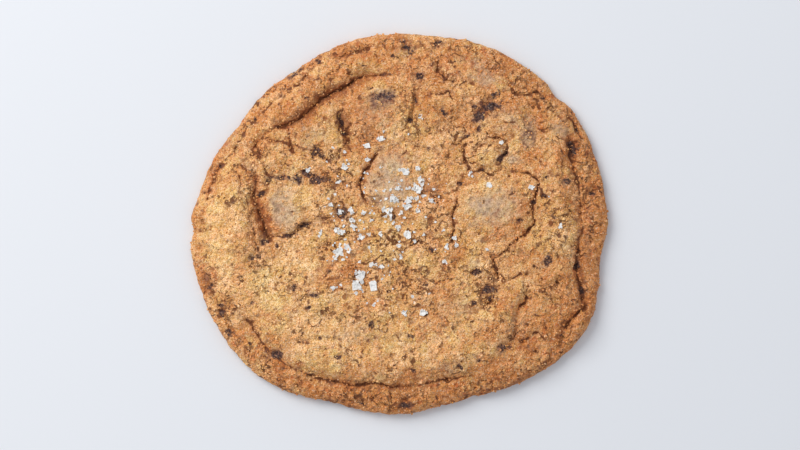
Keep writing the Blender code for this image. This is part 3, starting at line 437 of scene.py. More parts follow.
# Clods that stand a little proud with broken edges: x, y, half length, half width, turn, share of the lift
CLODS = (
    (-37.0, 20.0, 5.2, 4.0, 20, 1.0), (-36.2, 26.4, 3.6, 1.9, 0, 0.8), (-43.2, 18.4, 3.4, 2.2, 70, 0.8),
    (-46.8, 11.6, 5.6, 1.9, 95, 1.0), (-29.8, 17.8, 3.2, 2.4, 0, 0.7), (-27.0, 26.0, 4.4, 4.0, 0, 0.8),
    (-20.6, 22.8, 4.0, 2.4, 90, 0.7), (-21.2, 32.2, 4.0, 3.0, 80, 0.8), (-3.0, 24.0, 6.5, 1.7, 28, 0.9),
    (6.0, 24.6, 5.0, 2.0, -10, 0.8), (8.4, 31.0, 4.2, 3.6, 90, 1.0), (13.4, 36.0, 3.2, 2.8, 0, 0.8),
    (11.8, 25.6, 4.0, 2.6, 0, 0.7), (24.0, 25.6, 3.6, 2.6, 20, 0.8), (26.6, 20.4, 4.2, 3.4, 0, 1.0),
    (35.6, 20.6, 3.6, 3.0, 0, 0.8), (27.6, 29.6, 3.4, 2.6, 30, 0.8), (33.4, 33.4, 4.8, 3.0, 10, 0.9),
    (36.4, 37.8, 3.2, 2.2, -20, 0.7), (19.0, 38.4, 3.0, 2.0, 0, 0.7), (20.4, 44.4, 5.0, 2.8, -10, 0.8),
    (28.6, 43.2, 4.6, 3.0, -20, 0.7), (7.4, 47.0, 4.0, 2.6, 10, 0.7), (14.4, 44.8, 2.8, 2.2, 0, 0.6),
    (44.2, 32.8, 5.0, 3.0, 115, 0.7), (45.2, 20.4, 6.0, 3.4, 100, 0.7), (46.6, 4.6, 5.6, 2.8, 90, 0.8),
    (45.6, -4.0, 4.0, 3.2, 90, 0.7), (5.2, 17.2, 4.6, 3.4, 60, 0.6), (6.8, 3.6, 3.6, 3.0, 90, 0.8),
    (11.4, -1.6, 3.8, 3.0, 0, 0.8), (-21.6, 6.6, 4.8, 4.0, 90, 0.9), (-25.4, -4.4, 4.2, 2.4, 0, 0.7),
    (-14.0, -6.4, 3.8, 2.8, 0, 0.8), (-3.2, -8.6, 4.0, 2.8, 0, 0.9), (6.4, -10.4, 4.8, 3.4, 10, 1.0),
    (14.2, -9.4, 3.6, 2.8, 0, 0.8), (10.6, -15.4, 3.6, 2.4, 0, 0.7), (21.4, -10.6, 3.8, 3.6, 0, 0.8),
    (17.4, -19.0, 4.6, 2.8, 10, 0.9), (5.4, -22.4, 4.4, 3.2, 0, 0.9), (-4.6, -26.0, 3.8, 2.6, 0, 0.7),
    (-17.4, -14.6, 4.0, 3.0, 0, 0.7), (-22.6, -23.4, 4.6, 3.0, 20, 0.8), (-33.4, -25.0, 4.0, 3.0, 0, 0.6),
    (-13.4, -33.4, 4.6, 2.4, 0, 0.7), (3.4, -32.4, 4.4, 3.0, 0, 0.7), (24.4, -29.0, 4.2, 3.2, 30, 0.8),
    (37.0, -28.4, 3.6, 3.0, 60, 0.7), (42.4, -23.4, 4.4, 3.0, 80, 0.8), (34.4, -18.0, 3.2, 2.2, 60, 0.8),
    (46.0, -30.6, 4.0, 2.8, 50, 0.7), (38.6, -41.0, 5.0, 2.6, 25, 0.7), (14.6, -38.4, 5.0, 3.0, 0, 0.6),
    (-6.4, -38.6, 4.6, 3.0, 0, 0.6), (-26.4, -38.4, 4.6, 3.0, -20, 0.6), (-16.4, -50.6, 4.4, 2.0, -5, 0.7),
    (5.0, -51.4, 4.0, 2.0, 0, 0.7), (27.0, -48.6, 4.6, 2.2, 15, 0.7), (-40.4, -33.6, 4.2, 2.6, -50, 0.6),
    (-49.4, -22.4, 4.4, 2.6, 110, 0.6), (-53.6, -8.0, 5.0, 2.8, 95, 0.6), (-52.0, 8.0, 5.4, 3.0, 85, 0.6),
    (-46.4, 26.4, 4.8, 2.2, 50, 0.7), (-37.4, 36.6, 5.0, 2.2, 42, 0.7), (-26.4, 44.4, 5.4, 2.4, 32, 0.7),
    (-12.0, 48.4, 5.6, 2.2, 12, 0.7), (-0.6, 48.0, 4.2, 2.4, 0, 0.6), (57.4, 3.0, 5.0, 2.0, 90, 0.6),
    (57.0, -9.6, 4.6, 2.0, 90, 0.6), (54.4, 18.0, 4.6, 2.0, 105, 0.6), (49.6, 33.0, 4.2, 2.0, 120, 0.6),
)

# Parts of the crust that broke into crumbs as they dried: x, y, half length, half width, turn, strength
CRUMBLED = (
    (-18.5, 14.0, 8.0, 5.0, 80, 0.8), (-17.5, -2.0, 8.0, 5.0, 90, 0.8), (3.0, -5.5, 15.0, 4.0, 0, 0.9),
    (10.5, 5.0, 11.0, 4.0, 90, 0.9), (-4.0, -14.0, 12.0, 4.5, 0, 0.8), (9.0, -17.0, 10.0, 4.5, 10, 0.7),
    (26.5, -17.5, 8.0, 4.0, 90, 0.9), (21.0, 21.5, 5.0, 5.0, 0, 0.8), (-27.0, -18.5, 10.0, 4.0, 0, 0.6),
    (3.5, 31.0, 11.0, 3.0, 95, 0.8), (-41.0, 19.0, 7.0, 4.0, 70, 0.7), (47.5, 0.0, 14.0, 5.0, 90, 0.6),
    (-24.0, 20.5, 6.0, 4.0, 0, 0.4), (23.0, 36.0, 7.0, 4.0, 0, 0.8), (40.0, 38.0, 7.0, 4.0, -40, 0.5),
    (-47.0, 9.0, 9.0, 3.0, 90, 0.3), (14.0, 51.0, 16.0, 4.0, -5, 0.4), (-10.0, -52.5, 18.0, 3.0, -3, 0.7),
    (22.0, -50.0, 14.0, 3.0, 15, 0.6), (44.0, -20.0, 8.0, 5.0, 90, 0.5), (57.0, 8.0, 22.0, 3.0, 90, 0.6),
    (-54.0, -24.0, 10.0, 4.0, 110, 0.6), (-42.0, -42.0, 12.0, 4.0, -40, 0.6),
    (-12.0, -28.0, 10.0, 3.5, 0, 0.5),
    (48.0, -36.0, 10.0, 3.0, 45, 0.5), (-40.0, 40.0, 14.0, 3.0, 42, 0.4), (-8.0, 27.5, 5.0, 2.5, 0, 0.5),
    (30.0, -24.0, 4.0, 4.0, 0, 0.6), (12.0, 27.5, 6.0, 3.0, 0, 0.5), (-27.0, -2.0, 6.0, 2.5, -10, 0.6),
)

# Paler, yellower dough and, with a negative strength, browner dough; some rows are painted light on the
# lower-left rim,
# which faces away from the lamp: x, y, half length, half width, turn, strength
PALE_DOUGH_AND_PAINTED_LIGHT = (
    (-34.0, -20.0, 24.0, 13.0, -35, 1.0), (-2.0, -37.0, 30.0, 8.0, 0, 0.8),
    (49.6, -6.0, 8.0, 4.6, 90, 1.0), (-53.0, 0.0, 18.0, 8.0, 90, 1.2),
    (-25.0, 6.0, 6.0, 5.0, 0, 0.5), (26.0, 20.5, 6.0, 4.0, 0, 0.3), (16.0, -29.0, 9.0, 6.0, 0, 0.5),
    (-46.0, -40.0, 12.0, 4.0, -45, 0.1), (31.5, -28.0, 4.0, 4.0, 0, 0.4),
    (46.0, -24.0, 12.0, 9.0, -40, -0.7),
    (38.0, -38.0, 16.0, 7.0, 25, -0.4), (57.5, -4.0, 26.0, 4.0, 90, -0.9),
    # Painted light on the lower-left rim, which faces away from the lamp
    (-55.0, -25.5, 6.0, 3.0, 120, 0.8),
    (-45.0, -42.0, 12.0, 2.6, -42, 0.5), (-28.0, -50.6, 8.0, 2.4, -15, 0.5),
    (-24.0, -19.0, 8.0, 4.0, 0, -0.5),
    (-8.0, -24.0, 7.0, 3.4, 0, -0.4), (5.0, -31.0, 3.0, 6.0, 0, -0.4), (38.5, -29.5, 3.0, 3.0, 0, -0.7),
    (-20.5, 19.5, 3.0, 2.6, 0, 0.5), (12.8, 3.4, 2.2, 2.6, 0, 0.5), (5.0, -13.6, 4.4, 1.9, -10, 0.6),
    (23.6, -19.2, 1.6, 1.8, 0, 0.6), (11.0, -20.6, 3.0, 1.6, 0, 0.4), (-40.0, -43.0, 3.0, 2.0, -40, 0.6),
    (-28.0, -45.0, 4.4, 3.0, -20, 0.5), (-3.2, -43.4, 2.8, 2.4, 0, 0.6), (20.0, -38.0, 3.0, 2.6, 0, 0.5),
    (15.4, -43.0, 2.6, 3.4, 0, 0.5), (33.6, -34.0, 2.2, 2.6, 0, 0.5), (37.4, -23.8, 1.8, 1.8, 0, 0.5),
    (36.0, 43.0, 3.6, 2.6, -30, 0.8), (44.6, 35.4, 3.0, 2.4, -40, 0.8), (25.4, 38.0, 2.6, 2.0, 0, 0.5),
    (23.0, 22.6, 1.8, 2.8, 0, 0.4), (-40.6, 28.0, 3.4, 2.0, 20, 0.7), (-37.0, 36.0, 4.4, 2.8, 40, 0.5),
    (-24.0, 46.0, 4.4, 2.0, 20, 0.6), (-17.0, 49.0, 4.4, 2.0, 15, 0.5), (-5.0, 39.0, 3.6, 1.8, 0, 0.5),
    (-19.4, 33.2, 1.8, 2.2, 0, 0.6), (-10.2, 45.0, 2.0, 1.6, 0, 0.7), (-58.8, 4.6, 1.8, 2.8, 0, 0.9),
    (34.0, -31.0, 4.4, 2.6, 70, 0.5), (17.6, 27.0, 3.4, 2.8, 0, 0.8), (-44.4, 24.6, 4.4, 3.2, 40, 0.4),
    (-24.0, 20.6, 7.0, 7.0, 0, 0.35), (-3.6, -4.2, 6.0, 2.4, 0, 0.6), (-46.0, 6.0, 6.0, 2.8, 90, 0.8),
    (-54.0, -24.0, 8.0, 3.0, 115, 0.6), (48.4, -17.6, 4.0, 2.6, 30, 0.4), (15.0, -14.0, 2.6, 1.8, 60, 0.4),
    (-31.0, 34.0, 9.0, 3.0, 40, -0.4), (-4.0, -53.0, 30.0, 3.0, 0, -0.7), (8.0, 36.0, 11.0, 5.0, 90, -0.3),
    (34.0, 36.0, 8.0, 5.0, -30, -0.2), (44.0, 34.0, 8.0, 4.0, -55, 0.3),
    (-19.0, -13.0, 7.0, 5.0, 0, -0.7), (12.0, 5.0, 4.0, 12.0, 0, -0.4),
)


def smooth_step(value, low, high):
    """0 below low, 1 above high and an S curve between."""
    share = np.clip((value - low) / (high - low), 0.0, 1.0)
    return share * share * (3.0 - 2.0 * share)


def curve_through(points, steps=5):
    """The points of a Catmull-Rom curve through the given ones, with their other values carried along."""
    rows = np.array(points, float)
    padded = np.vstack([2 * rows[0] - rows[1], rows, 2 * rows[-1] - rows[-2]])
    shares = np.arange(steps)[:, None] / steps
    made = []
    for a, b, c, d in zip(padded, padded[1:], padded[2:], padded[3:]):
        made.append(
            0.5 * (2 * b + (c - a) * shares + (2 * a - 5 * b + 4 * c - d) * shares**2
                   + (3 * b - a - 3 * c + d) * shares**3)
        )
    return np.vstack([*made, rows[-1:]])


def edge_radius(angle):
    """The distance from the middle to the edge at each angle."""
    turns = 3
    loop = curve_through(OUTLINE * turns + OUTLINE[:1])
    around = np.unwrap(np.arctan2(loop[:, 1], loop[:, 0]))
    return np.interp(angle % math.tau + math.tau, around, np.hypot(loop[:, 0], loop[:, 1]))


def tangents(line):
    """The direction of the line at each of its points."""
    along = np.diff(line[:, :2], axis=0)
    along /= np.hypot(along[:, 0], along[:, 1])[:, None]
    return np.vstack([along[:1], along[:-1] + along[1:], along[-1:]])


def beside_line(x, y, line, reach):
    """Distance to the line, positive on its left, and the line's last value at the nearest point."""
    distance, strength = np.full(x.shape, float(reach)), np.zeros(x.shape)
    low, high = line[:, :2].min(axis=0) - reach, line[:, :2].max(axis=0) + reach
    near = (x > low[0]) & (x < high[0]) & (y > low[1]) & (y < high[1])
    px, py = x[near], y[near]
    best, side, value = (np.full(px.shape, start) for start in (np.inf, 1.0, 0.0))
    heading = tangents(line)
    for start, end, before, after in zip(line, line[1:], heading, heading[1:]):
        dx, dy = (end - start)[:2]
        along = ((px - start[0]) * dx + (py - start[1]) * dy) / (dx * dx + dy * dy)
        along = np.clip(along, 0.0, 1.0)
        ox, oy = px - start[0] - along * dx, py - start[1] - along * dy
        away = np.hypot(ox, oy)
        left = (before[0] + along * (after[0] - before[0])) * oy
        left -= (before[1] + along * (after[1] - before[1])) * ox
        closer = away < best
        best = np.where(closer, away, best)
        side = np.where(closer, np.where(left > 0, 1.0, -1.0), side)
        value = np.where(closer, start[-1] + along * (end[-1] - start[-1]), value)
    distance[near], strength[near] = best * side, value
    return distance, strength


def fold_relief(x, y):
    """The creases, each with a rolled lip along its left."""
    height = np.zeros(x.shape)
    for depth, width, lip, reach, line in FOLDS.values():
        away, strength = beside_line(x, y, curve_through(line), 4 * reach)
        crease = depth * np.exp(-np.abs(away) / width)
        rise = np.clip(away, 0.0, None) / reach
        height += strength * (lip * rise * np.exp(0.5 - 0.5 * rise**2) - crease)
    return height


def faded(line, end):
    """The curve of a crack, marked with 1 along its length and with the given share at both ends."""
    shares = [end, *[1.0] * (len(line) - 2), end]
    return curve_through([(*point, share) for point, share in zip(line, shares)])


def crack_relief(x, y):
    """The cracks, fading out at both ends."""
    height = np.zeros(x.shape)
    for depth, width, line in CRACKS.values():
        away, strength = beside_line(x, y, faded(line, 0.2), 8 * width)
        height -= strength * depth * np.exp(-((np.abs(away) / width) ** 1.3))
    return height


def crease_shade(x, y, spread=1.0):
    """1 in the very line of a fold or crack and 0 beside it, for the painted shade there."""
    shade = np.zeros(x.shape)
    for _, width, _, _, line in FOLDS.values():
        away, strength = beside_line(x, y, curve_through(line), 4 * width)
        shade = np.maximum(shade, np.sqrt(strength) * np.exp(-((away / (FOLD_SHADE * spread)) ** 2)))
    for _, width, line in CRACKS.values():
        away, strength = beside_line(x, y, faded(line, 0.3), 8 * width)
        shade = np.maximum(shade, strength * np.exp(-((away / (CRACK_SHADE * spread)) ** 2)))
    return shade


def oval_distance(x, y, oval):
    """0 in the middle of a turned oval and 1 on its edge."""
    centre_x, centre_y, half_length, half_width, turn = oval
    cos, sin = math.cos(math.radians(turn)), math.sin(math.radians(turn))
    along = (x - centre_x) * cos + (y - centre_y) * sin
    across = (y - centre_y) * cos - (x - centre_x) * sin
    return np.hypot(along / half_length, across / half_width)


def lumps(x, y, size, seed):
    """Smooth noise of about -1 to 1, with lumps of the given size, its grain turned with the seed."""
    cos, sin = math.cos(seed) / size, math.sin(seed) / size
    across, up = x * cos - y * sin, x * sin + y * cos
    return np.array([noise.noise(Vector((a, b, seed))) for a, b in zip(across, up)])


def warped(x, y):
    """The points shifted a little here and there, which makes drawn lines and ovals uneven."""
    shift_x = 0.5 * lumps(x, y, 7.0, 21.0) + 0.5 * lumps(x, y, 2.2, 22.0)
    shift_y = 0.5 * lumps(x, y, 7.0, 23.0) + 0.5 * lumps(x, y, 2.2, 24.0)
    return x + shift_x, y + shift_y


def top_height(x, y, inset):
    """The top of the cookie above its base, inset being the distance in from the edge."""
    climb = smooth_step(inset, RIM_BAND, RIM_BAND + CLIMB)
    height = RIM_HEIGHT + (PLATEAU_HEIGHT - RIM_HEIGHT) * climb
    for *oval, lift in SWELLS:
        height += lift * np.exp(-1.5 * oval_distance(x, y, oval) ** 2)
    height += 0.6 * lumps(x, y, 11.0, 5.0) + 0.4 * lumps(x, y, 5.0, 7.0)
    height += 0.35 * lumps(x, y, 2.4, 9.0) + (0.2 + 0.2 * (1.0 - climb)) * lumps(x, y, 1.3, 11.0)
    x, y = warped(x, y)
    for *oval, lift in MOUNDS:
        height += lift * (1.0 - smooth_step(oval_distance(x, y, oval), 0.55, 1.3))
    return height + fold_relief(x, y) + crack_relief(x, y)


def lumps_through(points, size, seed):
    """Smooth noise of about -1 to 1 through space, with lumps of the given size."""
    return np.array([noise.noise(point) for point in (points / size + 13.7 * seed).tolist()])


def cells_near(points, spacing, seed):
    """For cells of the given spacing: the distance to the nearest centre and a draw from 0 to 1."""
    rows = []
    for point in (points / spacing + 13.7 * seed).tolist():
        distances, centres = noise.voronoi(point)
        rows.append((distances[0], noise.cell(centres[0] * 57.0)))
    near, draw = np.array(rows).T
    return near * spacing, 0.5 + 0.5 * draw


def ovals_cover(x, y, ovals, inner, outer):
    """The greatest strength of the ovals at each point, fading out between inner and outer."""
    cover = np.zeros(x.shape)
    for *oval, strength in ovals:
        share = 1.0 - smooth_step(oval_distance(x, y, oval), inner, outer)
        cover = np.maximum(cover, strength * share)
    return cover


def stitch(first, second):
    """The triangles between two rings of points, each ring evenly spaced by angle."""
    n, m = len(first), len(second)
    last_i, last_j = n * (n > 1), m * (m > 1)
    faces, i, j = [], 0, 0
    while i < last_i or j < last_j:
        if j < last_j and (i == last_i or (j + 1) * last_i <= (i + 1) * last_j):
            faces.append((first[i % n], second[j], second[(j + 1) % m]))
            j += 1
        else:
            faces.append((first[i], second[j % m], first[(i + 1) % n]))
            i += 1
    return faces


def crust_rings():
    """Ring number and angle of each point, then the faces: over the top first, then the underside."""
    counts = [1, *(6 * n for n in range(1, SURFACE_RINGS + 1))]
    counts += [*(6 * n for n in range(UNDER_RINGS, 0, -1)), 1]
    starts = np.concatenate([[0], np.cumsum(counts)])
    rings = [range(a, b) for a, b in zip(starts.tolist(), starts[1:].tolist())]
    ring = np.repeat(np.arange(len(counts)), counts)
    angle = np.concatenate([np.arange(count) * math.tau / count for count in counts])
    faces = [stitch(a, b) for a, b in zip(rings, rings[1:])]
    top = sum(faces[:SURFACE_RINGS], [])
    return ring, angle, top, sum(faces[SURFACE_RINGS:], [])


def crust_form(ring, angle):
    """Each point's place and distance in from the edge: over the top, round the side, along the base."""
    edge = edge_radius(angle) + 0.35 * lumps(40 * np.cos(angle), 40 * np.sin(angle), 2.2, 3.0)
    flat_rings = SURFACE_RINGS - SHOULDER_RINGS - FOOT_RINGS
    round_over = np.clip((ring - flat_rings) / SHOULDER_RINGS, 0.0, 1.0) * math.pi / 2
    tuck = np.clip((ring - flat_rings - SHOULDER_RINGS) / FOOT_RINGS, 0.0, 1.0) * math.pi / 2
    radius = (edge - SHOULDER) * np.clip(ring / flat_rings, 0.0, 1.0)
    radius += SHOULDER * np.sin(round_over) - FOOT_INSET * (1.0 - np.cos(tuck))
    under = np.clip((ring - SURFACE_RINGS) / (UNDER_RINGS + 1), 0.0, 1.0)
    radius = radius * (1.0 - under)
    x, y = radius * np.cos(angle), radius * np.sin(angle)
    inset = edge - radius
    height = np.zeros(x.shape)
    above = tuck == 0
    height[above] = top_height(x[above], y[above], inset[above])
    z = WAIST_HEIGHT + (height - WAIST_HEIGHT) * np.cos(round_over)
    z = np.where(above, z, WAIST_HEIGHT * (1.0 - np.sin(tuck)))
    return np.column_stack([x, y, z]), inset


def outward(points, faces):
    """The direction that each point's surface faces."""
    corners = points[faces]
    across = np.cross(corners[:, 1] - corners[:, 0], corners[:, 2] - corners[:, 0])
    normal = np.column_stack([
        sum(np.bincount(faces[:, k], across[:, axis], len(points)) for k in range(3)) for axis in range(3)
    ])
    return normal / np.maximum(np.linalg.norm(normal, axis=1), 1e-12)[:, None]


def clod_relief(x, y):
    """How far each place stands proud with its clod, up to 1, and the broken edges between clods, which
    take painted shade.
    """
    lift = np.zeros(x.shape)
    edge = np.zeros(x.shape)
    for *oval, share in CLODS:
        away = oval_distance(x, y, oval)
        near = away < 1.7
        lift[near] = np.maximum(lift[near], share * np.exp(-(away[near] ** 5)))
        edge[near] = np.maximum(edge[near], share * np.exp(-(((away[near] - 1.02) / 0.1) ** 2)))
    gate = smooth_step(lumps(x, y, 3.2, 31.0), -0.15, 0.25)
    return lift, edge * gate


def crust_marks(x, y, inset):
    """What the tables mark on the crust, each mark from 0 to 1 at every point."""
    thin = ovals_cover(x, y, THIN_CRUST, 0.35, 1.4)
    thin *= smooth_step(lumps(x, y, 4.5, 33.0) + 0.5 * lumps(x, y, 2.0, 34.0) + 0.6 * thin, -0.3, 0.35)
    folded = fold_relief(x, y)
    # How much of the painted shade of folds and cracks is kept
    fold_shade_kept = 1.0 - ovals_cover(x, y, FADED_FOLD_SHADE, 0.5, 1.4)
    # The furrow mark is painted shade in fold and crack hollows and along the very edge, and real browning
    # in the burnt ovals
    furrow_burn_and_shade = np.clip(-folded / 1.2 - crack_relief(x, y) / 2.0, 0.0, 1.0)
    furrow_burn_and_shade = np.maximum(furrow_burn_and_shade, 0.5 * crease_shade(x, y, 3.0)) * fold_shade_kept
    furrow_burn_and_shade = np.maximum(furrow_burn_and_shade, ovals_cover(x, y, BURNT_AND_SHADED, 0.3, 1.3))
    furrow_burn_and_shade = np.maximum(furrow_burn_and_shade, EDGE_SHADE * (1.0 - smooth_step(inset, 0.4, 2.2)))
    clods, broken = clod_relief(x, y)
    return {
        "thin_crust": thin,
        "chocolate": ovals_cover(x, y, CHOCOLATE, 0.2, 2.0),
        "smudge": ovals_cover(x, y, SMUDGES, 0.3, 1.3),
        "crumbled": ovals_cover(x, y, CRUMBLED, 0.4, 1.4),
        "furrow_burn_and_shade": furrow_burn_and_shade,
        # The crease mark is painted shade in the line of each fold and crack
        "crease": crease_shade(x, y) * fold_shade_kept,
        "clods": clods,
        "broken": broken * fold_shade_kept,
        "crest": np.clip(folded / 1.2, 0.0, 1.0),
        # The hollow mark is painted shade in the folds, added through the browning
        "hollow": np.clip(-folded / 0.6, 0.0, 1.0),
    }


def fine_relief(points, rim, thin):
    """The grain of the crust, from about -1 to 1, then the gaps between its clumps and its pores."""
    patches = smooth_step(lumps_through(points, 9.0, 2.0) + 0.3 * rim - 0.3 * thin, -0.25, 0.25)
    clump = np.minimum(2.6 * np.abs(lumps_through(points, WIDE_GAPS, 1.0)), 1.0)
    crumble = np.minimum(2.6 * np.abs(lumps_through(points, NARROW_GAPS, 3.0)), 1.0)
    gap = np.maximum(1.0 - clump / 0.16, 0.55 * (1.0 - crumble / 0.2)) * patches
    grain = 0.5 * lumps_through(points, 0.85, 5.0) + 0.5 * lumps_through(points, 1.6, 6.0)
    grain += 0.7 * (clump - 0.6) * patches + 0.8 * (crumble - 0.6)
    near, draw = cells_near(points, PORE_SPACING, 7.0)
    pore = (1.0 - smooth_step(near, 0.15, 0.55)) * (draw < PORE_SHARE)
    return grain, np.maximum(gap, 0.0), pore


def browned_and_shaded_share(points, x, y, inset, marks):
    """How far each point is browned, with painted shade in hollows and on clod edges and painted light on
    clods, but for what its grain adds.
    """
    # The pale share includes painted light on the lower-left rim
    pale = sum(
        strength * np.exp(-1.5 * oval_distance(x, y, oval) ** 2) for *oval, strength in PALE_DOUGH_AND_PAINTED_LIGHT
    )
    outer = 1.0 - smooth_step(inset, 4.0, 45.0)
    # The hollow and broken terms add painted shade; the clods term is painted light on the clods' tops
    share = 0.4 + 0.2 * outer + 0.1 * marks["crest"] + 0.3 * marks["hollow"] - 0.6 * pale
    share += 0.3 * marks["broken"] - 0.15 * marks["clods"]
    return share + 0.25 * lumps_through(points, 14.0, 8.0) + 0.2 * lumps_through(points, 5.0, 9.0)


def crust_shape(settings):
    """Points, faces, masks and map of the crust: its form with the grain, pores and cracks of baking."""
    ring, angle, top, under = crust_rings()
    faces = np.array(top + under)
    points, inset = crust_form(ring, angle)
    x, y = warped(points[:, 0], points[:, 1])
    below = ring > SURFACE_RINGS
    rim = 1.0 - smooth_step(inset, 2.0, 16.0)
    marks = crust_marks(x, y, inset)
    grain, gap, pore = fine_relief(points, rim, marks["thin_crust"])

    rough = (0.75 + 0.25 * rim + 0.35 * marks["crumbled"]) * (1.0 - 0.6 * marks["thin_crust"])
    rough *= 0.35 + 0.65 * smooth_step(inset, 0.5, 4.0)
    lift = settings.grain_height / MM * rough * grain
    proud = lift + settings.clod_lift / MM * marks["clods"] - settings.pore_depth / MM * pore
    proud -= settings.chocolate_hollow / MM * marks["chocolate"]
    points = points + outward(points, faces) * np.where(below, 0.25 * lift, proud)[:, None]
    points[:, 2] = np.maximum(points[:, 2], 0.0)

    # Less browning on the grain's high points is painted light, and more in its low points painted shade
    browning_and_shade = browned_and_shaded_share(points, x, y, inset, marks) + 0.22 * rim - 0.1 * grain
    # Painted shade: dark in creases, along broken clod edges, in the gaps of crumbled patches and in pores
    dark = marks["crease"] + 0.75 * marks["broken"] + 0.7 * marks["crumbled"] * gap + 0.8 * pore
    # Each mask on the top, and its one value on the underside
    masks = {
        "browning_and_shade": (np.clip(browning_and_shade, 0.0, 1.0), 0.9),
        "thin_crust": (marks["thin_crust"], 0.0),
        "chocolate": (marks["chocolate"], 0.0),
        "smudge": (marks["smudge"], 0.0),
        "crumbled": (marks["crumbled"], 0.3),
        "furrow_burn_and_shade": (marks["furrow_burn_and_shade"], 0.0),
        "crease": (np.clip(dark, 0.0, 1.0), 0.0),
    }
    masks = {name: np.where(below, beneath, above) for name, (above, beneath) in masks.items()}
    return points, faces, masks, crust_map(ring, angle, faces, len(top))


def crust_map(ring, angle, faces, top_faces):
    """Map coordinates for each corner: the top as one disc, the underside as a smaller one beside it."""
    around = np.column_stack([np.cos(angle), np.sin(angle)])
    top = TOP_MAP[0] + TOP_MAP[1] * (ring / SURFACE_RINGS)[:, None] * around
    share = 1.0 - np.clip((ring - SURFACE_RINGS) / (UNDER_RINGS + 1), 0.0, 1.0)
    under = UNDER_MAP[0] + UNDER_MAP[1] * share[:, None] * around
    corners = [top[faces[:top_faces]], under[faces[top_faces:]]]
    return np.concatenate(corners).reshape(-1, 2)


def centre_shift(points):
    """What brings the middle of the points' box over the origin."""
    low, high = points.min(axis=0), points.max(axis=0)
    return np.array([-(low[0] + high[0]) / 2, -(low[1] + high[1]) / 2, 0.0])


def make_piece(name, points, faces, masks=None, smooth=True):
    """A mesh object from points in millimetres and lists of corners, each mask with a value a point."""
    mesh = bpy.data.meshes.new(name)
    mesh.from_pydata((np.asarray(points) * MM).tolist(), [], faces)
    for mask, values in (masks or {}).items():
        mesh.attributes.new(mask, "FLOAT", "POINT").data.foreach_set("value", values.astype(np.float32))
    if smooth:
        mesh.shade_smooth()
    piece = bpy.data.objects.new(name, mesh)
    bpy.context.scene.collection.objects.link(piece)
    return piece


def settle(piece, material):
    """Gives a piece its material, and says what it rides on."""
    piece.data.materials.append(material)
    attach(piece, BODY)


def surface_of(piece):
    """A function giving the height of the piece's top at x, y, in millimetres."""
    mesh = piece.data
    tree = BVHTree.FromPolygons([v.co for v in mesh.vertices], [face.vertices for face in mesh.polygons])

    def look_down(x, y):
        point, _, _, _ = tree.ray_cast(Vector((x, y, ABOVE_ALL)) * MM, Vector((0.0, 0.0, -1.0)))
        if point is None:
            raise RuntimeError(f"nothing of {piece.name} lies at {x:.1f}, {y:.1f}")
        return point.z / MM

    return look_down


def crust_piece():
    """The crust, which the other pieces lie on."""
    crust = bpy.data.objects.get("cookie_crust")
    if crust is None:
        raise RuntimeError("the crust comes first")
    return crust


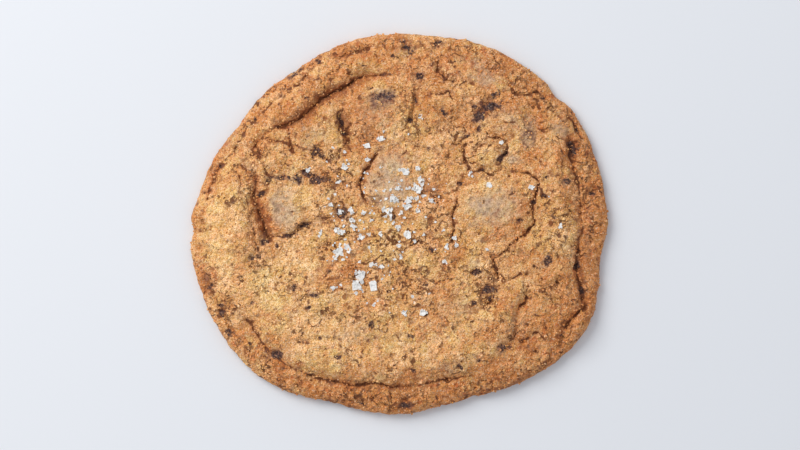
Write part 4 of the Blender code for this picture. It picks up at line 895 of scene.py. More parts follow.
class Wiring:
    """Adds nodes to a tree and joins them, one call for each node."""

    def __init__(self, tree):
        self.tree = tree

    def feed(self, socket, value):
        """Links another node's output to the socket, or sets a plain value on it."""
        if isinstance(value, bpy.types.NodeSocket):
            self.tree.links.new(value, socket)
        else:
            socket.default_value = value

    def add(self, kind, settings=None, inputs=None):
        """A node with the given settings and inputs."""
        node = self.tree.nodes.new(kind)
        for name, value in (settings or {}).items():
            setattr(node, name, value)
        for key, value in (inputs or {}).items():
            self.feed(node.inputs[key], value)
        return node

    def maths(self, operation, first, second=0.0, third=0.0):
        """What one operation makes of up to three values."""
        node = self.add("ShaderNodeMath", {"operation": operation}, {0: first, 1: second, 2: third})
        return node.outputs[0]

    def vectors(self, operation, first, second, third=(0.0, 0.0, 0.0)):
        """What one operation makes of up to three places."""
        inputs = {0: first, 1: second, 2: third}
        return self.add("ShaderNodeVectorMath", {"operation": operation}, inputs).outputs[0]

    def between(self, value, low, high, to_low=0.0, to_high=1.0):
        """The value led smoothly from one range to another, and held at its ends."""
        names = {"Value": value, "From Min": low, "From Max": high, "To Min": to_low, "To Max": to_high}
        return self.add("ShaderNodeMapRange", {"interpolation_type": "SMOOTHSTEP"}, names).outputs[0]

    def blend(self, share, first, second, how="MIX"):
        """The first colour with the given share of the second."""
        settings = {"data_type": "RGBA", "blend_type": how}
        return self.add("ShaderNodeMix", settings, {0: share, 6: first, 7: second}).outputs[2]

    def tint(self, colour, by):
        """The colour multiplied by another."""
        return self.blend(1.0, colour, by, "MULTIPLY")

    def cover(self, colour, layer, mask, name):
        """The colour under a layer, which hides as much of it as the mask and COVER say."""
        return self.blend(self.maths("MULTIPLY", mask, COVER[name]), colour, layer)

    def joined(self, red, green, blue):
        """A colour from its three parts."""
        return self.add("ShaderNodeCombineColor", None, {0: red, 1: green, 2: blue}).outputs[0]

    def parts(self, colour):
        """The three parts of a colour."""
        return self.add("ShaderNodeSeparateColor", None, {0: colour}).outputs

    def mask(self, name):
        """One of the piece's masks."""
        return self.add("ShaderNodeAttribute", {"attribute_name": name}).outputs["Fac"]

    def place(self):
        """Where each point lies on its piece, in metres."""
        return self.add("ShaderNodeTexCoord").outputs["Object"]

    def bend(self, where, size, reach):
        """The place shifted unevenly, by up to about half of the given reach in metres."""
        drift = self.add("ShaderNodeTexNoise", None, {"Vector": where, "Scale": 1.0 / size, "Detail": 1.0})
        centred = self.vectors("SUBTRACT", drift.outputs["Color"], (0.5,) * 3)
        return self.vectors("MULTIPLY_ADD", centred, (reach,) * 3, where)

    def cells(self, where, size):
        """Uneven cells about the given size across, in metres."""
        return self.add("ShaderNodeTexVoronoi", {"feature": "F1"}, {"Vector": where, "Scale": 1.0 / size})

    def speckle(self, where, size, seed, detail):
        """Smooth noise from 0 to 1, its lumps about the given size in metres."""
        shifted = self.vectors("ADD", where, (seed,) * 3)
        inputs = {"Vector": shifted, "Scale": 1.0 / size, "Detail": detail}
        return self.add("ShaderNodeTexNoise", None, inputs).outputs["Fac"]

    def pattern(self, where, name):
        """One of the PATTERNS, from 0 to 1."""
        return self.speckle(where, *PATTERNS[name])

    def bump(self, shader, height, strength, distance):
        """Tilts the shader's surface as the height rises and falls."""
        inputs = {"Strength": strength, "Distance": distance, "Height": height}
        self.feed(shader.inputs["Normal"], self.add("ShaderNodeBump", None, inputs).outputs["Normal"])


def new_group(name, inputs, outputs):
    """A shader node group with the named sockets, and its wiring."""
    tree = bpy.data.node_groups.new(name, "ShaderNodeTree")
    for label, kind, default in inputs:
        socket = tree.interface.new_socket(label, in_out="INPUT", socket_type=kind)
        socket.default_value = default
    for label, kind in outputs:
        tree.interface.new_socket(label, in_out="OUTPUT", socket_type=kind)
    wiring = Wiring(tree)
    return tree, wiring, wiring.add("NodeGroupInput"), wiring.add("NodeGroupOutput")


def crack_lines(wiring, where, bent, cracking):
    """A wide and a narrow net of fine cracks, and the strips beside them."""
    amount = wiring.maths("MULTIPLY", wiring.maths("SUBTRACT", cracking, 0.5), 0.5)
    cracks, beside = 0.0, 0.0
    uneven = wiring.between(wiring.pattern(where, "crack edges"), 0.3, 0.7, -0.02, 0.035)
    for size, width, seed, strength in FINE_CRACKS:
        apart = wiring.maths("SUBTRACT", wiring.speckle(bent, size, seed, 1.0), 0.5)
        apart = wiring.maths("ABSOLUTE", apart)
        shown = wiring.maths("ADD", wiring.speckle(where, CRACKED_PATCHES, seed + 5.0, 2.0), amount)
        shown = wiring.between(shown, 0.5, 0.62, 0.0, strength)
        line = wiring.between(wiring.maths("ADD", apart, uneven), 0.2 * width, width, 1.0, 0.0)
        cracks = wiring.maths("MAXIMUM", cracks, wiring.maths("MULTIPLY", line, shown))
        strip = wiring.between(apart, width, 4.0 * width, 1.0, 0.0)
        beside = wiring.maths("MAXIMUM", beside, wiring.maths("MULTIPLY", strip, shown))
    return cracks, beside


def dust_dots(wiring, where, fine, dustiness, beside):
    """Dots of chocolate dust, more of them beside the cracks."""
    dots = wiring.cells(where, DUST_SPACING)
    draw = wiring.parts(dots.outputs["Color"])[0]
    share = wiring.maths("MULTIPLY_ADD", beside, 0.5, 0.22)
    chosen = wiring.maths("LESS_THAN", draw, wiring.maths("MULTIPLY", dustiness, share))
    near = wiring.maths("ADD", dots.outputs["Distance"], wiring.between(fine, 0.3, 0.7, -0.15, 0.15))
    return wiring.maths("MULTIPLY", chosen, wiring.between(near, 0.22, 0.36, 1.0, 0.0))


def baked_dough_group():
    """Baked dough: browned in patches, sandy with sugar, finely cracked and peppered with dust."""
    tree = bpy.data.node_groups.get("Baked dough")
    if tree:
        return tree
    inputs = (
        ("Dough", "NodeSocketColor", (0.6, 0.35, 0.16, 1.0)),
        ("Ochre", "NodeSocketColor", (0.6, 0.4, 0.15, 1.0)),
        ("Browned", "NodeSocketColor", (0.45, 0.2, 0.07, 1.0)),
        ("Sugar", "NodeSocketColor", (0.9, 0.8, 0.6, 1.0)),
        ("Dust", "NodeSocketColor", (0.1, 0.04, 0.03, 1.0)),
        ("Browning and shade", "NodeSocketFloat", 0.4),
        ("Dustiness", "NodeSocketFloat", 0.5),
        ("Cracking", "NodeSocketFloat", 0.5),
    )
    outputs = (("Color", "NodeSocketColor"), ("Grain", "NodeSocketFloat"), ("Cracks", "NodeSocketFloat"))
    tree, wiring, given, result = new_group("Baked dough", inputs, outputs)
    where = wiring.place()
    patch = wiring.pattern(where, "browned patches")
    sand = wiring.pattern(where, "sand")
    fine = wiring.pattern(where, "fine sand")
    bent = wiring.bend(wiring.bend(where, 0.0025, 0.0016), 0.0008, 0.0004)

    tone = wiring.parts(wiring.cells(bent, CLUMPS).outputs["Color"])
    level = wiring.maths("ADD", given.outputs["Browning and shade"], wiring.between(patch, 0.3, 0.7, -0.25, 0.25))
    level = wiring.maths("ADD", level, wiring.between(sand, 0.3, 0.7, -0.25, 0.25))
    level = wiring.maths("ADD", level, wiring.between(tone[0], 0.0, 1.0, -0.12, 0.12))
    level = wiring.maths("MINIMUM", wiring.maths("MAXIMUM", level, 0.0), 1.0)
    yellow = wiring.pattern(where, "ochre patches")
    yellow = wiring.maths("ADD", yellow, wiring.between(tone[2], 0.0, 1.0, -0.12, 0.12))
    yellow = wiring.between(yellow, 0.4, 0.65)
    colour = wiring.blend(yellow, given.outputs["Dough"], given.outputs["Ochre"])
    colour = wiring.blend(level, colour, given.outputs["Browned"])
    shade = wiring.maths("MULTIPLY_ADD", sand, 0.6, fine)
    shade = wiring.between(shade, 0.55, 1.05, 0.75, 1.24)
    shade = wiring.maths("MULTIPLY", shade, wiring.between(tone[1], 0.0, 1.0, 0.93, 1.07))
    tinted = wiring.joined(shade, wiring.maths("POWER", shade, 1.65), wiring.maths("POWER", shade, 3.0))
    colour = wiring.tint(colour, tinted)
    grains = wiring.between(wiring.pattern(where, "sugar grains"), 0.5, 0.8)
    colour = wiring.cover(colour, given.outputs["Sugar"], grains, "sugar")
    cracks, beside = crack_lines(wiring, where, bent, given.outputs["Cracking"])
    colour = wiring.cover(colour, given.outputs["Browned"], beside, "beside a crack")
    dust = dust_dots(wiring, where, fine, given.outputs["Dustiness"], beside)
    colour = wiring.cover(colour, given.outputs["Dust"], dust, "dust")
    grain = wiring.maths("ADD", sand, wiring.maths("MULTIPLY", fine, 0.5))
    grain = wiring.maths("SUBTRACT", grain, wiring.maths("MULTIPLY", cracks, 0.6))
    for name, value in (("Color", colour), ("Grain", grain), ("Cracks", cracks)):
        wiring.feed(result.inputs[name], value)
    return tree


def use_dough(wiring, settings, dustiness, cracking):
    """The baked dough in the crust's colours, browned by the piece's own mask."""
    inputs = {
        "Dough": opaque(settings.dough),
        "Ochre": opaque(settings.ochre),
        "Browned": opaque(settings.browned),
        "Sugar": opaque(settings.sugar),
        "Dust": opaque(settings.dust),
        "Browning and shade": wiring.mask("browning_and_shade"),
        "Dustiness": dustiness,
        "Cracking": cracking,
    }
    return wiring.add("ShaderNodeGroup", {"node_tree": baked_dough_group()}, inputs)


def new_material(name):
    """An empty material with its Principled shader, and its wiring."""
    material = bpy.data.materials.new(name)
    material.use_nodes = True
    return material, Wiring(material.node_tree), material.node_tree.nodes["Principled BSDF"]


def opaque(colour):
    """The colour as a shader takes it."""
    return (*colour, 1.0)


def crust_material(settings):
    """Baked dough, greyer over chocolate, stained round the pieces that show, with painted shade in its
    cracks and folds.
    """
    material, wiring, shader = new_material("baked crust")
    cracking = wiring.maths("MULTIPLY_ADD", wiring.mask("crumbled"), 0.42, 0.44)
    healed = wiring.maths("MULTIPLY", wiring.mask("thin_crust"), 0.25)
    cracking = wiring.maths("SUBTRACT", cracking, healed)
    dough = use_dough(wiring, settings, settings.dustiness, cracking)
    where = wiring.place()
    blotch = wiring.pattern(where, "blotches")
    veiled = wiring.between(blotch, 0.25, 0.65, 0.45, 1.0)
    thin = wiring.maths("MULTIPLY", wiring.mask("thin_crust"), veiled)
    sandy = wiring.between(dough.outputs["Grain"], 0.45, 1.05, 0.68, 1.28)
    sand = wiring.joined(sandy, sandy, sandy)
    veil = wiring.tint(opaque(settings.thin_crust), sand)
    colour = wiring.cover(dough.outputs["Color"], veil, thin, "thin crust")
    reddened = wiring.between(wiring.pattern(where, "reddened"), 0.56, 0.7)
    baked = wiring.between(wiring.mask("browning_and_shade"), 0.25, 0.9, 0.1, 0.75)
    rust = wiring.tint(opaque(settings.rust), sand)
    colour = wiring.blend(wiring.maths("MULTIPLY", reddened, baked), colour, rust)
    ragged = wiring.between(blotch, 0.25, 0.75, -0.4, 0.4)
    # Painted shade in folds, crack hollows and along the edge, partly real browning, in the burnt colour
    furrow_burn_and_shade = wiring.between(wiring.maths("ADD", wiring.mask("furrow_burn_and_shade"), ragged), 0.1, 0.9)
    colour = wiring.cover(colour, opaque(settings.burnt), furrow_burn_and_shade, "furrow_burn_and_shade")
    smudge = wiring.maths("MULTIPLY", wiring.mask("smudge"), wiring.between(blotch, 0.3, 0.65, 0.35, 0.9))
    smoke = wiring.tint(opaque(settings.halo), sand)
    colour = wiring.blend(smudge, colour, smoke)
    # Painted shade in creases, fine cracks, pores and gaps between clods, in the crack colour
    crease = wiring.between(wiring.maths("ADD", wiring.mask("crease"), ragged), 0.25, 0.75)
    crease = wiring.maths("MAXIMUM", crease, dough.outputs["Cracks"])
    colour = wiring.cover(colour, opaque(settings.crack), crease, "crease")
    near = wiring.maths("ADD", wiring.mask("chocolate"), ragged)
    halo = wiring.between(near, 0.05, 0.55)
    scorched = wiring.between(wiring.pattern(where, "scorched"), 0.42, 0.58)
    ring = wiring.blend(scorched, smoke, opaque(settings.burnt))
    colour = wiring.cover(colour, ring, halo, "halo")
    mottle = wiring.pattern(where, "mottling")
    stain = wiring.maths("ADD", near, wiring.between(mottle, 0.3, 0.7, 0.25, -0.25))
    stain = wiring.between(stain, 0.45, 0.8)
    melted = wiring.blend(wiring.between(mottle, 0.46, 0.66, 0.0, 0.75), opaque(settings.stain), smoke)
    colour = wiring.cover(colour, melted, stain, "stain")
    wiring.feed(shader.inputs["Base Color"], colour)
    rough = wiring.maths("SUBTRACT", 0.84, wiring.maths("MULTIPLY", thin, 0.22))
    rough = wiring.maths("SUBTRACT", rough, wiring.maths("MULTIPLY", stain, 0.2))
    wiring.feed(shader.inputs["Roughness"], rough)
    smooth = wiring.maths("SUBTRACT", 1.0, wiring.maths("MULTIPLY", thin, 0.4))
    wiring.bump(shader, wiring.maths("MULTIPLY", dough.outputs["Grain"], smooth), 1.0, 0.7 * MM)
    shader.inputs["Specular IOR Level"].default_value = 0.35
    return material


def crumb_material(settings):
    """Loose baked crumbs, each a little paler or browner than the crust."""
    material, wiring, shader = new_material("baked crumbs")
    dough = use_dough(wiring, settings, 0.3 * settings.dustiness, 0.0)
    wiring.feed(shader.inputs["Base Color"], dough.outputs["Color"])
    wiring.bump(shader, dough.outputs["Grain"], 0.4, 0.2 * MM)
    shader.inputs["Roughness"].default_value = 0.85
    shader.inputs["Specular IOR Level"].default_value = 0.3
    return material


def chocolate_material(settings):
    """Dark chocolate, melted and set again, dulled in patches by fat bloom."""
    material, wiring, shader = new_material("baked chocolate")
    where = wiring.place()
    bloom = wiring.between(wiring.pattern(where, "bloom"), 0.42, 0.7)
    colour = wiring.blend(bloom, opaque(settings.chocolate), opaque(settings.bloom))
    specks = wiring.between(wiring.pattern(where, "specks"), 0.56, 0.64)
    colour = wiring.blend(specks, colour, opaque(settings.specks))
    wiring.feed(shader.inputs["Base Color"], colour)
    wiring.feed(shader.inputs["Roughness"], wiring.between(bloom, 0.0, 1.0, 0.5, 0.8))
    wiring.bump(shader, wiring.pattern(where, "chocolate grain"), 0.35, 0.2 * MM)
    return material


def salt_material(settings):
    """Flaky salt: clear crystal, clouded white by its layers."""
    material, wiring, shader = new_material("flaky salt")
    where = wiring.place()
    cloud = wiring.between(wiring.pattern(where, "salt clouds"), 0.35, 0.65)
    colour = wiring.blend(cloud, opaque(settings.clear), opaque(settings.cloudy))
    wiring.feed(shader.inputs["Base Color"], colour)
    wiring.feed(shader.inputs["Roughness"], wiring.between(cloud, 0.0, 1.0, 0.18, 0.45))
    shader.inputs["IOR"].default_value = 1.54
    shader.inputs["Transmission Weight"].default_value = 0.1
    return material


def floor_material(settings):
    """A pale, matt table top."""
    material, wiring, shader = new_material("pale floor")
    where = wiring.place()
    cloud = wiring.between(wiring.pattern(where, "floor clouds"), 0.3, 0.7, 0.985, 1.0)
    grey = wiring.joined(cloud, cloud, cloud)
    wiring.feed(shader.inputs["Base Color"], wiring.tint(opaque(settings.floor), grey))
    shader.inputs["Roughness"].default_value = 0.7
    return material


def ball_shape(steps):
    """Points and faces of a ball of radius 1, made from an icosahedron split so many times."""
    ball = bmesh.new()
    bmesh.ops.create_icosphere(ball, subdivisions=steps, radius=1.0)
    points = np.array([v.co for v in ball.verts])
    faces = np.array([[v.index for v in face.verts] for face in ball.faces])
    ball.free()
    return points, faces


def crumb_places(crust, settings):
    """Places in millimetres, directions and browning for the crumbs, spread over the top by area."""
    mesh = crust.data
    points = np.empty(3 * len(mesh.vertices), np.float32)
    mesh.vertices.foreach_get("co", points)
    points = points.reshape(-1, 3).astype(float) / MM
    faces = np.empty(3 * len(mesh.polygons), np.int32)
    mesh.polygons.foreach_get("vertices", faces)
    faces = faces.reshape(-1, 3)
    masks = {}
    for name in ("browning_and_shade", "thin_crust", "chocolate"):
        masks[name] = np.empty(len(points), np.float32)
        mesh.attributes[name].data.foreach_get("value", masks[name])
    corners = points[faces]
    across = np.cross(corners[:, 1] - corners[:, 0], corners[:, 2] - corners[:, 0])
    area = np.linalg.norm(across, axis=1)
    clear = (1.0 - 0.85 * masks["thin_crust"]) * np.clip(1.0 - masks["chocolate"], 0.3, 1.0)
    chance = area * clear[faces].mean(axis=1) * (corners[:, :, 2].mean(axis=1) > WAIST_HEIGHT)
    chance *= np.clip(across[:, 2] / area, 0.3, 1.0)
    draw = np.random.default_rng(settings.seed)
    chosen = draw.choice(len(faces), settings.count, p=chance / chance.sum())
    weights = draw.dirichlet((1.0, 1.0, 1.0), settings.count)
    places = (corners[chosen] * weights[:, :, None]).sum(axis=1)
    return places, across[chosen] / area[chosen][:, None], masks["browning_and_shade"][faces[chosen]].mean(axis=1)


def crumb_bits(crust, settings):
    """Points, faces and browning of the crumbs: small uneven balls sunk a little into the crust."""
    places, normals, browning_and_shade = crumb_places(crust, settings)
    draw = np.random.default_rng(settings.seed + 1)
    ball, ball_faces = ball_shape(1)
    low, high = settings.smallest / MM, settings.largest / MM
    half = 0.5 * (low + (high - low) * draw.random(settings.count) ** 2.2)
    bits = ball[None] * draw.uniform(0.7, 1.25, (settings.count, len(ball), 1))
    bits *= draw.uniform(0.75, 1.15, (settings.count, 1, 3)) * half[:, None, None]
    bits += (places + normals * 0.15 * half[:, None])[:, None]
    faces = ball_faces[None] + len(ball) * np.arange(settings.count)[:, None, None]
    tone = np.repeat(np.clip(browning_and_shade + draw.normal(0.0, 0.2, settings.count), 0.0, 1.0), len(ball))
    return bits.reshape(-1, 3), faces.reshape(-1, 3), tone


def chocolate_bits(settings, look_down):
    """Points and faces of the chocolate: low uneven lumps, some to each place where it shows."""
    ball, ball_faces = ball_shape(2)
    draw = random.Random(settings.seed)
    points, faces = [], []
    for number, (x, y, half_length, half_width, turn, shown) in enumerate(CHOCOLATE):
        cos, sin = math.cos(math.radians(turn)), math.sin(math.radians(turn))
        for bit in range(settings.bits):
            reach = 0.85 * math.sqrt(draw.random())
            way = draw.uniform(0.0, math.tau)
            along, across = reach * half_length * math.cos(way), reach * half_width * math.sin(way)
            px, py = x + along * cos - across * sin, y + along * sin + across * cos
            top = look_down(px, py) + settings.rise / MM * shown
            half = draw.uniform(0.2, 0.5) * (half_length * half_width) ** 0.5
            lump = ball * (1.0 + 0.5 * lumps_through(ball * 1.6, 1.0, number + 0.1 * bit))[:, None]
            lump = lump * (half, half, 0.7) + (px, py, top - BIT_DEPTH)
            lump[:, 2] += 0.3 * lumps_through(lump, 0.9, 2.0)
            faces.append(ball_faces + len(points) * len(ball))
            points.append(lump)
    return np.concatenate(points), np.concatenate(faces)


def flake_places():
    """The flakes fused to the solid: the larger ones, then small ones scattered round the middle."""
    draw = random.Random(FLAKE_SEED)
    rows = list(SALT_FLAKES)
    while len(rows) < len(SALT_FLAKES) + SMALL_FLAKES:
        x = SALT_CENTRE[0] + draw.gauss(0.0, SALT_SPREAD)
        y = SALT_CENTRE[1] + draw.gauss(0.0, SALT_SPREAD)
        width = draw.uniform(*SMALL_FLAKE_WIDTHS)
        if all(math.hypot(x - row[0], y - row[1]) > 0.7 * (width + row[2]) for row in rows):
            rows.append((x, y, width, SMALL_FLAKE_THICKNESS))
    return rows


def salt_places(settings, draw):
    """The flakes of the solid, then splinters scattered round the middle, clear of bare chocolate."""
    rows = flake_places()
    for _ in range(settings.splinters):
        x, y, spread = draw.choice((*SALT_HEAPS, (*SALT_CENTRE, SALT_SPREAD)))
        x += draw.gauss(0.0, spread)
        y += draw.gauss(0.0, spread)
        width = draw.triangular(*SPLINTER_WIDTHS)
        if all(oval_distance(x, y, oval) > CLEAR_OF_CHOCOLATE for *oval, _ in CHOCOLATE):
            rows.append((x, y, width, SPLINTER_THICKNESS))
    return rows


def salt_flake(width, thickness, draw):
    """A flake as a few thin shards that lie across each other, the first one the widest."""
    shards = 1 if width < SINGLE_SHARD else draw.choice((3, 4, 5))
    made = []
    for number in range(shards):
        widest = number == 0
        size = width * (1.0 if widest else draw.uniform(0.35, 0.65))
        thick = max(0.16, 0.35 * thickness * (1.0 if widest else 0.7))
        shift = 0.0 if widest else draw.uniform(0.25, 0.55) * width
        turn = draw.uniform(0.0, math.tau)
        place = Vector((shift * math.cos(turn), shift * math.sin(turn), 0.3 * thickness + 0.06 * number))
        steep = 0.22 if widest else 0.55
        lean = (draw.uniform(-steep, steep), draw.uniform(-steep, steep), draw.uniform(0.0, math.tau))
        laid = Matrix.Translation(place) @ Euler(lean).to_matrix().to_4x4()
        made.append(salt_shard(size, thick, laid, draw))
    return made


def salt_shard(size, thick, place, draw):
    """One shard: an uneven plate with sharp corners and a stepped, sunken upper face."""
    count = draw.choice((3, 4, 4, 5))
    angles = [math.tau * (k + draw.uniform(-0.25, 0.25)) / count for k in range(count)]
    reach = [0.5 * size * draw.uniform(0.75, 1.3) for _ in range(count)]
    points, faces = [], []
    for share, height in SHARD_LEVELS:
        for angle, radius in zip(angles, reach):
            x, y = share * radius * math.cos(angle), share * radius * math.sin(angle)
            points.append(tuple(place @ Vector((x, y, height * thick))))
    for level in range(len(SHARD_LEVELS) - 1):
        for k in range(count):
            a, b = level * count + k, level * count + (k + 1) % count
            faces.append([a, b, b + count, a + count])
    faces.append(list(range(count - 1, -1, -1)))
    faces.append([(len(SHARD_LEVELS) - 1) * count + k for k in range(count)])
    return points, faces


def colour_property(name, description, default):
    """A colour setting."""
    return bpy.props.FloatVectorProperty(
        name=name, description=description, subtype="COLOR", size=3, min=0.0, max=1.0, default=default
    )


def length_property(name, description, default):
    """A length setting, in metres."""
    return bpy.props.FloatProperty(
        name=name, description=description, default=default, min=0.0,
        unit="LENGTH", subtype="DISTANCE", precision=5
    )


def count_property(name, description, default, least=0):
    """A setting that is a whole number."""
    return bpy.props.IntProperty(name=name, description=description, default=default, min=least)


class CrustSettings(bpy.types.PropertyGroup):
    """Sizes and colours of the crust."""

    grain_height: length_property("Grain height", "How far the sandy grain stands up", 0.52 * MM)
    clod_lift: length_property("Clod lift", "How far the clods of the crust stand proud", 0.5 * MM)
    pore_depth: length_property("Pore depth", "How deep the pores and fine cracks go", 0.55 * MM)
    chocolate_hollow: length_property("Chocolate hollow", "How far the crust sinks at chocolate", 0.5 * MM)
    dustiness: bpy.props.FloatProperty(
        name="Dustiness", description="How much chocolate dust peppers the dough",
        default=0.5, min=0.0, max=1.0
    )
    dough: colour_property("Dough", "The palest baked dough", (0.98, 0.58, 0.25))
    ochre: colour_property("Ochre", "The yellower dough", (0.935, 0.59, 0.22))
    browned: colour_property("Browned", "The most browned dough", (0.70, 0.265, 0.072))
    sugar: colour_property("Sugar", "Pale grains of sugar in the dough", (0.98, 0.85, 0.66))
    dust: colour_property("Dust", "Chocolate dust in the dough", (0.22, 0.068, 0.026))
    thin_crust: colour_property("Thin crust", "Crust with chocolate close under it", (0.585, 0.45, 0.32))
    rust: colour_property("Rust", "Blotches baked redder", (0.52, 0.13, 0.035))
    # Burnt edge is also the colour of the painted shade in folds, crack hollows and along the edge
    burnt: colour_property("Burnt edge", "Darker baked crust beside a fold or crack", (0.33, 0.10, 0.032))
    # Crack is the colour of the painted shade inside cracks, creases and pores
    crack: colour_property("Crack", "The inside of cracks and pores", (0.16, 0.047, 0.015))
    halo: colour_property("Halo", "Dough greyed by chocolate beside it", (0.27, 0.128, 0.082))
    stain: colour_property("Stain", "Dough stained by chocolate", (0.07, 0.028, 0.024))


class ChocolateSettings(bpy.types.PropertyGroup):
    """Size and colours of the chocolate that shows."""

    bits: count_property("Bits", "How many bits each piece is broken into", 9, 1)
    seed: count_property("Seed", "Breaks the chocolate another way", 7)
    rise: length_property("Rise", "How far the chocolate fills its hollow", 0.12 * MM)
    chocolate: colour_property("Chocolate", "Bare dark chocolate", (0.05, 0.02, 0.016))
    bloom: colour_property("Bloom", "Chocolate dulled by fat bloom", (0.16, 0.085, 0.068))
    specks: colour_property("Specks", "Specks of dough on the chocolate", (0.42, 0.22, 0.11))


class CrumbSettings(bpy.types.PropertyGroup):
    """Number and size of the loose crumbs."""

    count: count_property("Crumbs", "How many crumbs cling to the crust", 6500, 1)
    smallest: length_property("Smallest", "Width of the smallest crumb", 0.35 * MM)
    largest: length_property("Largest", "Width of the largest crumb", 0.95 * MM)
    seed: count_property("Seed", "Draws another scatter of crumbs", 5)


class SaltSettings(bpy.types.PropertyGroup):
    """Number and colours of the salt flakes."""

    splinters: count_property("Splinters", "How many tiny bits of salt lie about", 170)
    seed: count_property("Seed", "Draws another scatter of salt", 3)
    clear: colour_property("Clear", "The clearest parts of a flake", (0.82, 0.80, 0.77))
    cloudy: colour_property("Cloudy", "The whitest parts of a flake", (0.98, 0.965, 0.94))


class StageSettings(bpy.types.PropertyGroup):
    """The floor, the lamps and the camera."""

    floor: colour_property("Floor", "Colour of the floor", (0.80, 0.82, 0.86))
    lamp_power: bpy.props.FloatProperty(
        name="Lamp", description="Power of the main lamp", default=7.3, min=0.0, unit="POWER"
    )
    sky: bpy.props.FloatProperty(
        name="Sky", description="Strength of the light from all round", default=0.58, min=0.0
    )
    view_width: length_property("View width", "Width of the floor that the camera sees", 240.0 * MM)
    camera_height: length_property("Camera height", "Height of the camera over the floor", 900.0 * MM)


class COOKIE_OT_crust(bpy.types.Operator):
    """Bakes the crust, with its folds, cracks, grain and pores"""

    bl_idname = "cookie.crust"
    bl_label = "Crust"

    def execute(self, context):
        settings = context.scene.cookie_crust
        points, faces, masks, corners = crust_shape(settings)
        points = points + centre_shift(points)
        crust = make_piece("cookie_crust", points, faces.tolist(), masks)
        layer = crust.data.uv_layers.new(name="OFBake")
        layer.data.foreach_set("uv", corners.astype(np.float32).ravel())
        settle(crust, crust_material(settings))
        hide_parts(NODE)
        return {"FINISHED"}


class COOKIE_OT_chocolate(bpy.types.Operator):
    """Sets a low lump of chocolate in each hollow of the crust"""

    bl_idname = "cookie.chocolate"
    bl_label = "Chocolate"

    def execute(self, context):
        settings = context.scene.cookie_chocolate
        look_down = surface_of(crust_piece())
        points, faces = chocolate_bits(settings, look_down)
        chocolate = make_piece("chocolate_pieces", points, faces.tolist())
        settle(chocolate, chocolate_material(settings))
        return {"FINISHED"}


class COOKIE_OT_crumbs(bpy.types.Operator):
    """Scatters crumbs over the crust, thicker on the rim than over the chocolate"""

    bl_idname = "cookie.crumbs"
    bl_label = "Crumbs"

    def execute(self, context):
        settings = context.scene.cookie_crumbs
        points, faces, tone = crumb_bits(crust_piece(), settings)
        crumbs = make_piece("crumbs", points, faces.tolist(), {"browning_and_shade": tone})
        settle(crumbs, crumb_material(context.scene.cookie_crust))
        return {"FINISHED"}


class COOKIE_OT_salt(bpy.types.Operator):
    """Drops flakes and splinters of salt on the middle of the cookie"""

    bl_idname = "cookie.salt"
    bl_label = "Salt"

    def execute(self, context):
        settings = context.scene.cookie_salt
        look_down = surface_of(crust_piece())
        draw = random.Random(settings.seed)
        points, faces = [], []
        for x, y, width, thickness in salt_places(settings, draw):
            top = look_down(x, y)
            for shard, shard_faces in salt_flake(width, thickness, draw):
                faces += [[corner + len(points) for corner in face] for face in shard_faces]
                points += [(px + x, py + y, pz + top) for px, py, pz in shard]
        salt = make_piece("salt_flakes", points, faces, smooth=False)
        settle(salt, salt_material(settings))
        return {"FINISHED"}


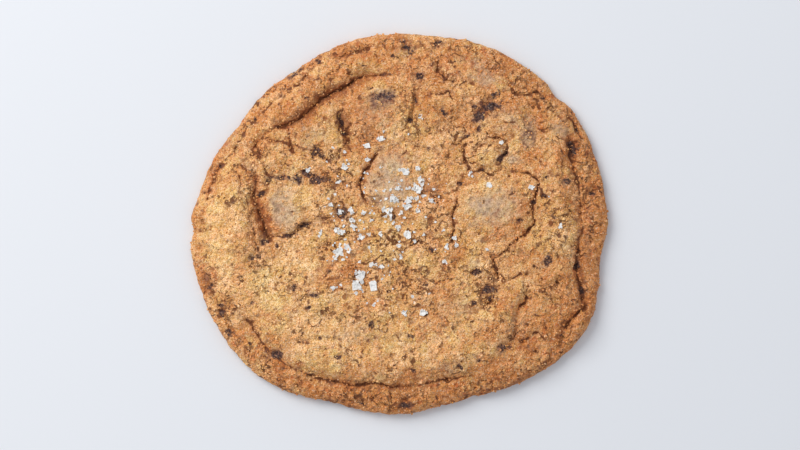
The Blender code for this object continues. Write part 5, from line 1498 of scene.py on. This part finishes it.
class COOKIE_OT_stage(bpy.types.Operator):
    """Lays the pale floor, hangs the soft lamps and sets the camera straight above"""

    bl_idname = "cookie.stage"
    bl_label = "Stage"

    def execute(self, context):
        settings = context.scene.cookie_stage
        scene = context.scene
        mesh = bpy.data.meshes.new("floor")
        corners = [(x * FLOOR_HALF, y * FLOOR_HALF, 0.0) for x, y in ((-1, -1), (1, -1), (1, 1), (-1, 1))]
        mesh.from_pydata(corners, [], [(0, 1, 2, 3)])
        mesh.materials.append(floor_material(settings))
        floor = bpy.data.objects.new("floor", mesh)
        scene.collection.objects.link(floor)

        lamp = bpy.data.lights.new("main lamp", "AREA")
        lamp.energy = settings.lamp_power
        lamp.size = LAMP_SIZE
        lamp.color = LAMP_COLOUR
        hung = bpy.data.objects.new("main lamp", lamp)
        hung.location = LAMP_PLACE
        hung.rotation_euler = (-Vector(LAMP_PLACE)).to_track_quat("-Z", "Y").to_euler()
        scene.collection.objects.link(hung)

        world = bpy.data.worlds.new("sky")
        world.use_nodes = True
        world.node_tree.nodes["Background"].inputs["Color"].default_value = opaque(SKY_COLOUR)
        world.node_tree.nodes["Background"].inputs["Strength"].default_value = settings.sky
        scene.world = world

        camera = bpy.data.cameras.new("camera")
        camera.lens = camera.sensor_width * settings.camera_height / settings.view_width
        looking = bpy.data.objects.new("camera", camera)
        looking.location = (CAMERA_ASIDE[0], CAMERA_ASIDE[1], settings.camera_height)
        scene.collection.objects.link(looking)
        scene.camera = looking
        scene.view_settings.view_transform = "Standard"
        return {"FINISHED"}


class COOKIE_PT_sidebar(bpy.types.Panel):
    """The cookie's settings and steps"""

    bl_idname = "COOKIE_PT_sidebar"
    bl_label = "Chocolate Chip Cookie"
    bl_space_type = "VIEW_3D"
    bl_region_type = "UI"
    bl_category = "Cookie"

    def draw(self, context):
        for name, operator in STEPS:
            box = self.layout.box()
            settings = getattr(context.scene, f"cookie_{name}")
            for field in settings.bl_rna.properties:
                if field.identifier not in ("rna_type", "name"):
                    box.prop(settings, field.identifier)
            box.operator(operator)


GROUPS = {
    "crust": CrustSettings,
    "chocolate": ChocolateSettings,
    "crumbs": CrumbSettings,
    "salt": SaltSettings,
    "stage": StageSettings,
}
STEPS = tuple((name, f"cookie.{name}") for name in GROUPS)
OPERATORS = (COOKIE_OT_crust, COOKIE_OT_chocolate, COOKIE_OT_crumbs, COOKIE_OT_salt, COOKIE_OT_stage)


def register():
    """Adds the settings, the operators and the panel."""
    for name, group in GROUPS.items():
        bpy.utils.register_class(group)
        setattr(bpy.types.Scene, f"cookie_{name}", bpy.props.PointerProperty(type=group))
    for kind in (*OPERATORS, COOKIE_PT_sidebar):
        bpy.utils.register_class(kind)


def unregister():
    """Takes them away again."""
    for kind in (COOKIE_PT_sidebar, *reversed(OPERATORS)):
        bpy.utils.unregister_class(kind)
    for name, group in reversed(GROUPS.items()):
        delattr(bpy.types.Scene, f"cookie_{name}")
        bpy.utils.unregister_class(group)


def main():
    """Builds the stage and the cookie."""
    register()
    bpy.ops.cookie.stage()
    bpy.ops.cookie.crust()
    bpy.ops.cookie.chocolate()
    bpy.ops.cookie.crumbs()
    bpy.ops.cookie.salt()


if __name__ == "__main__":
    main()
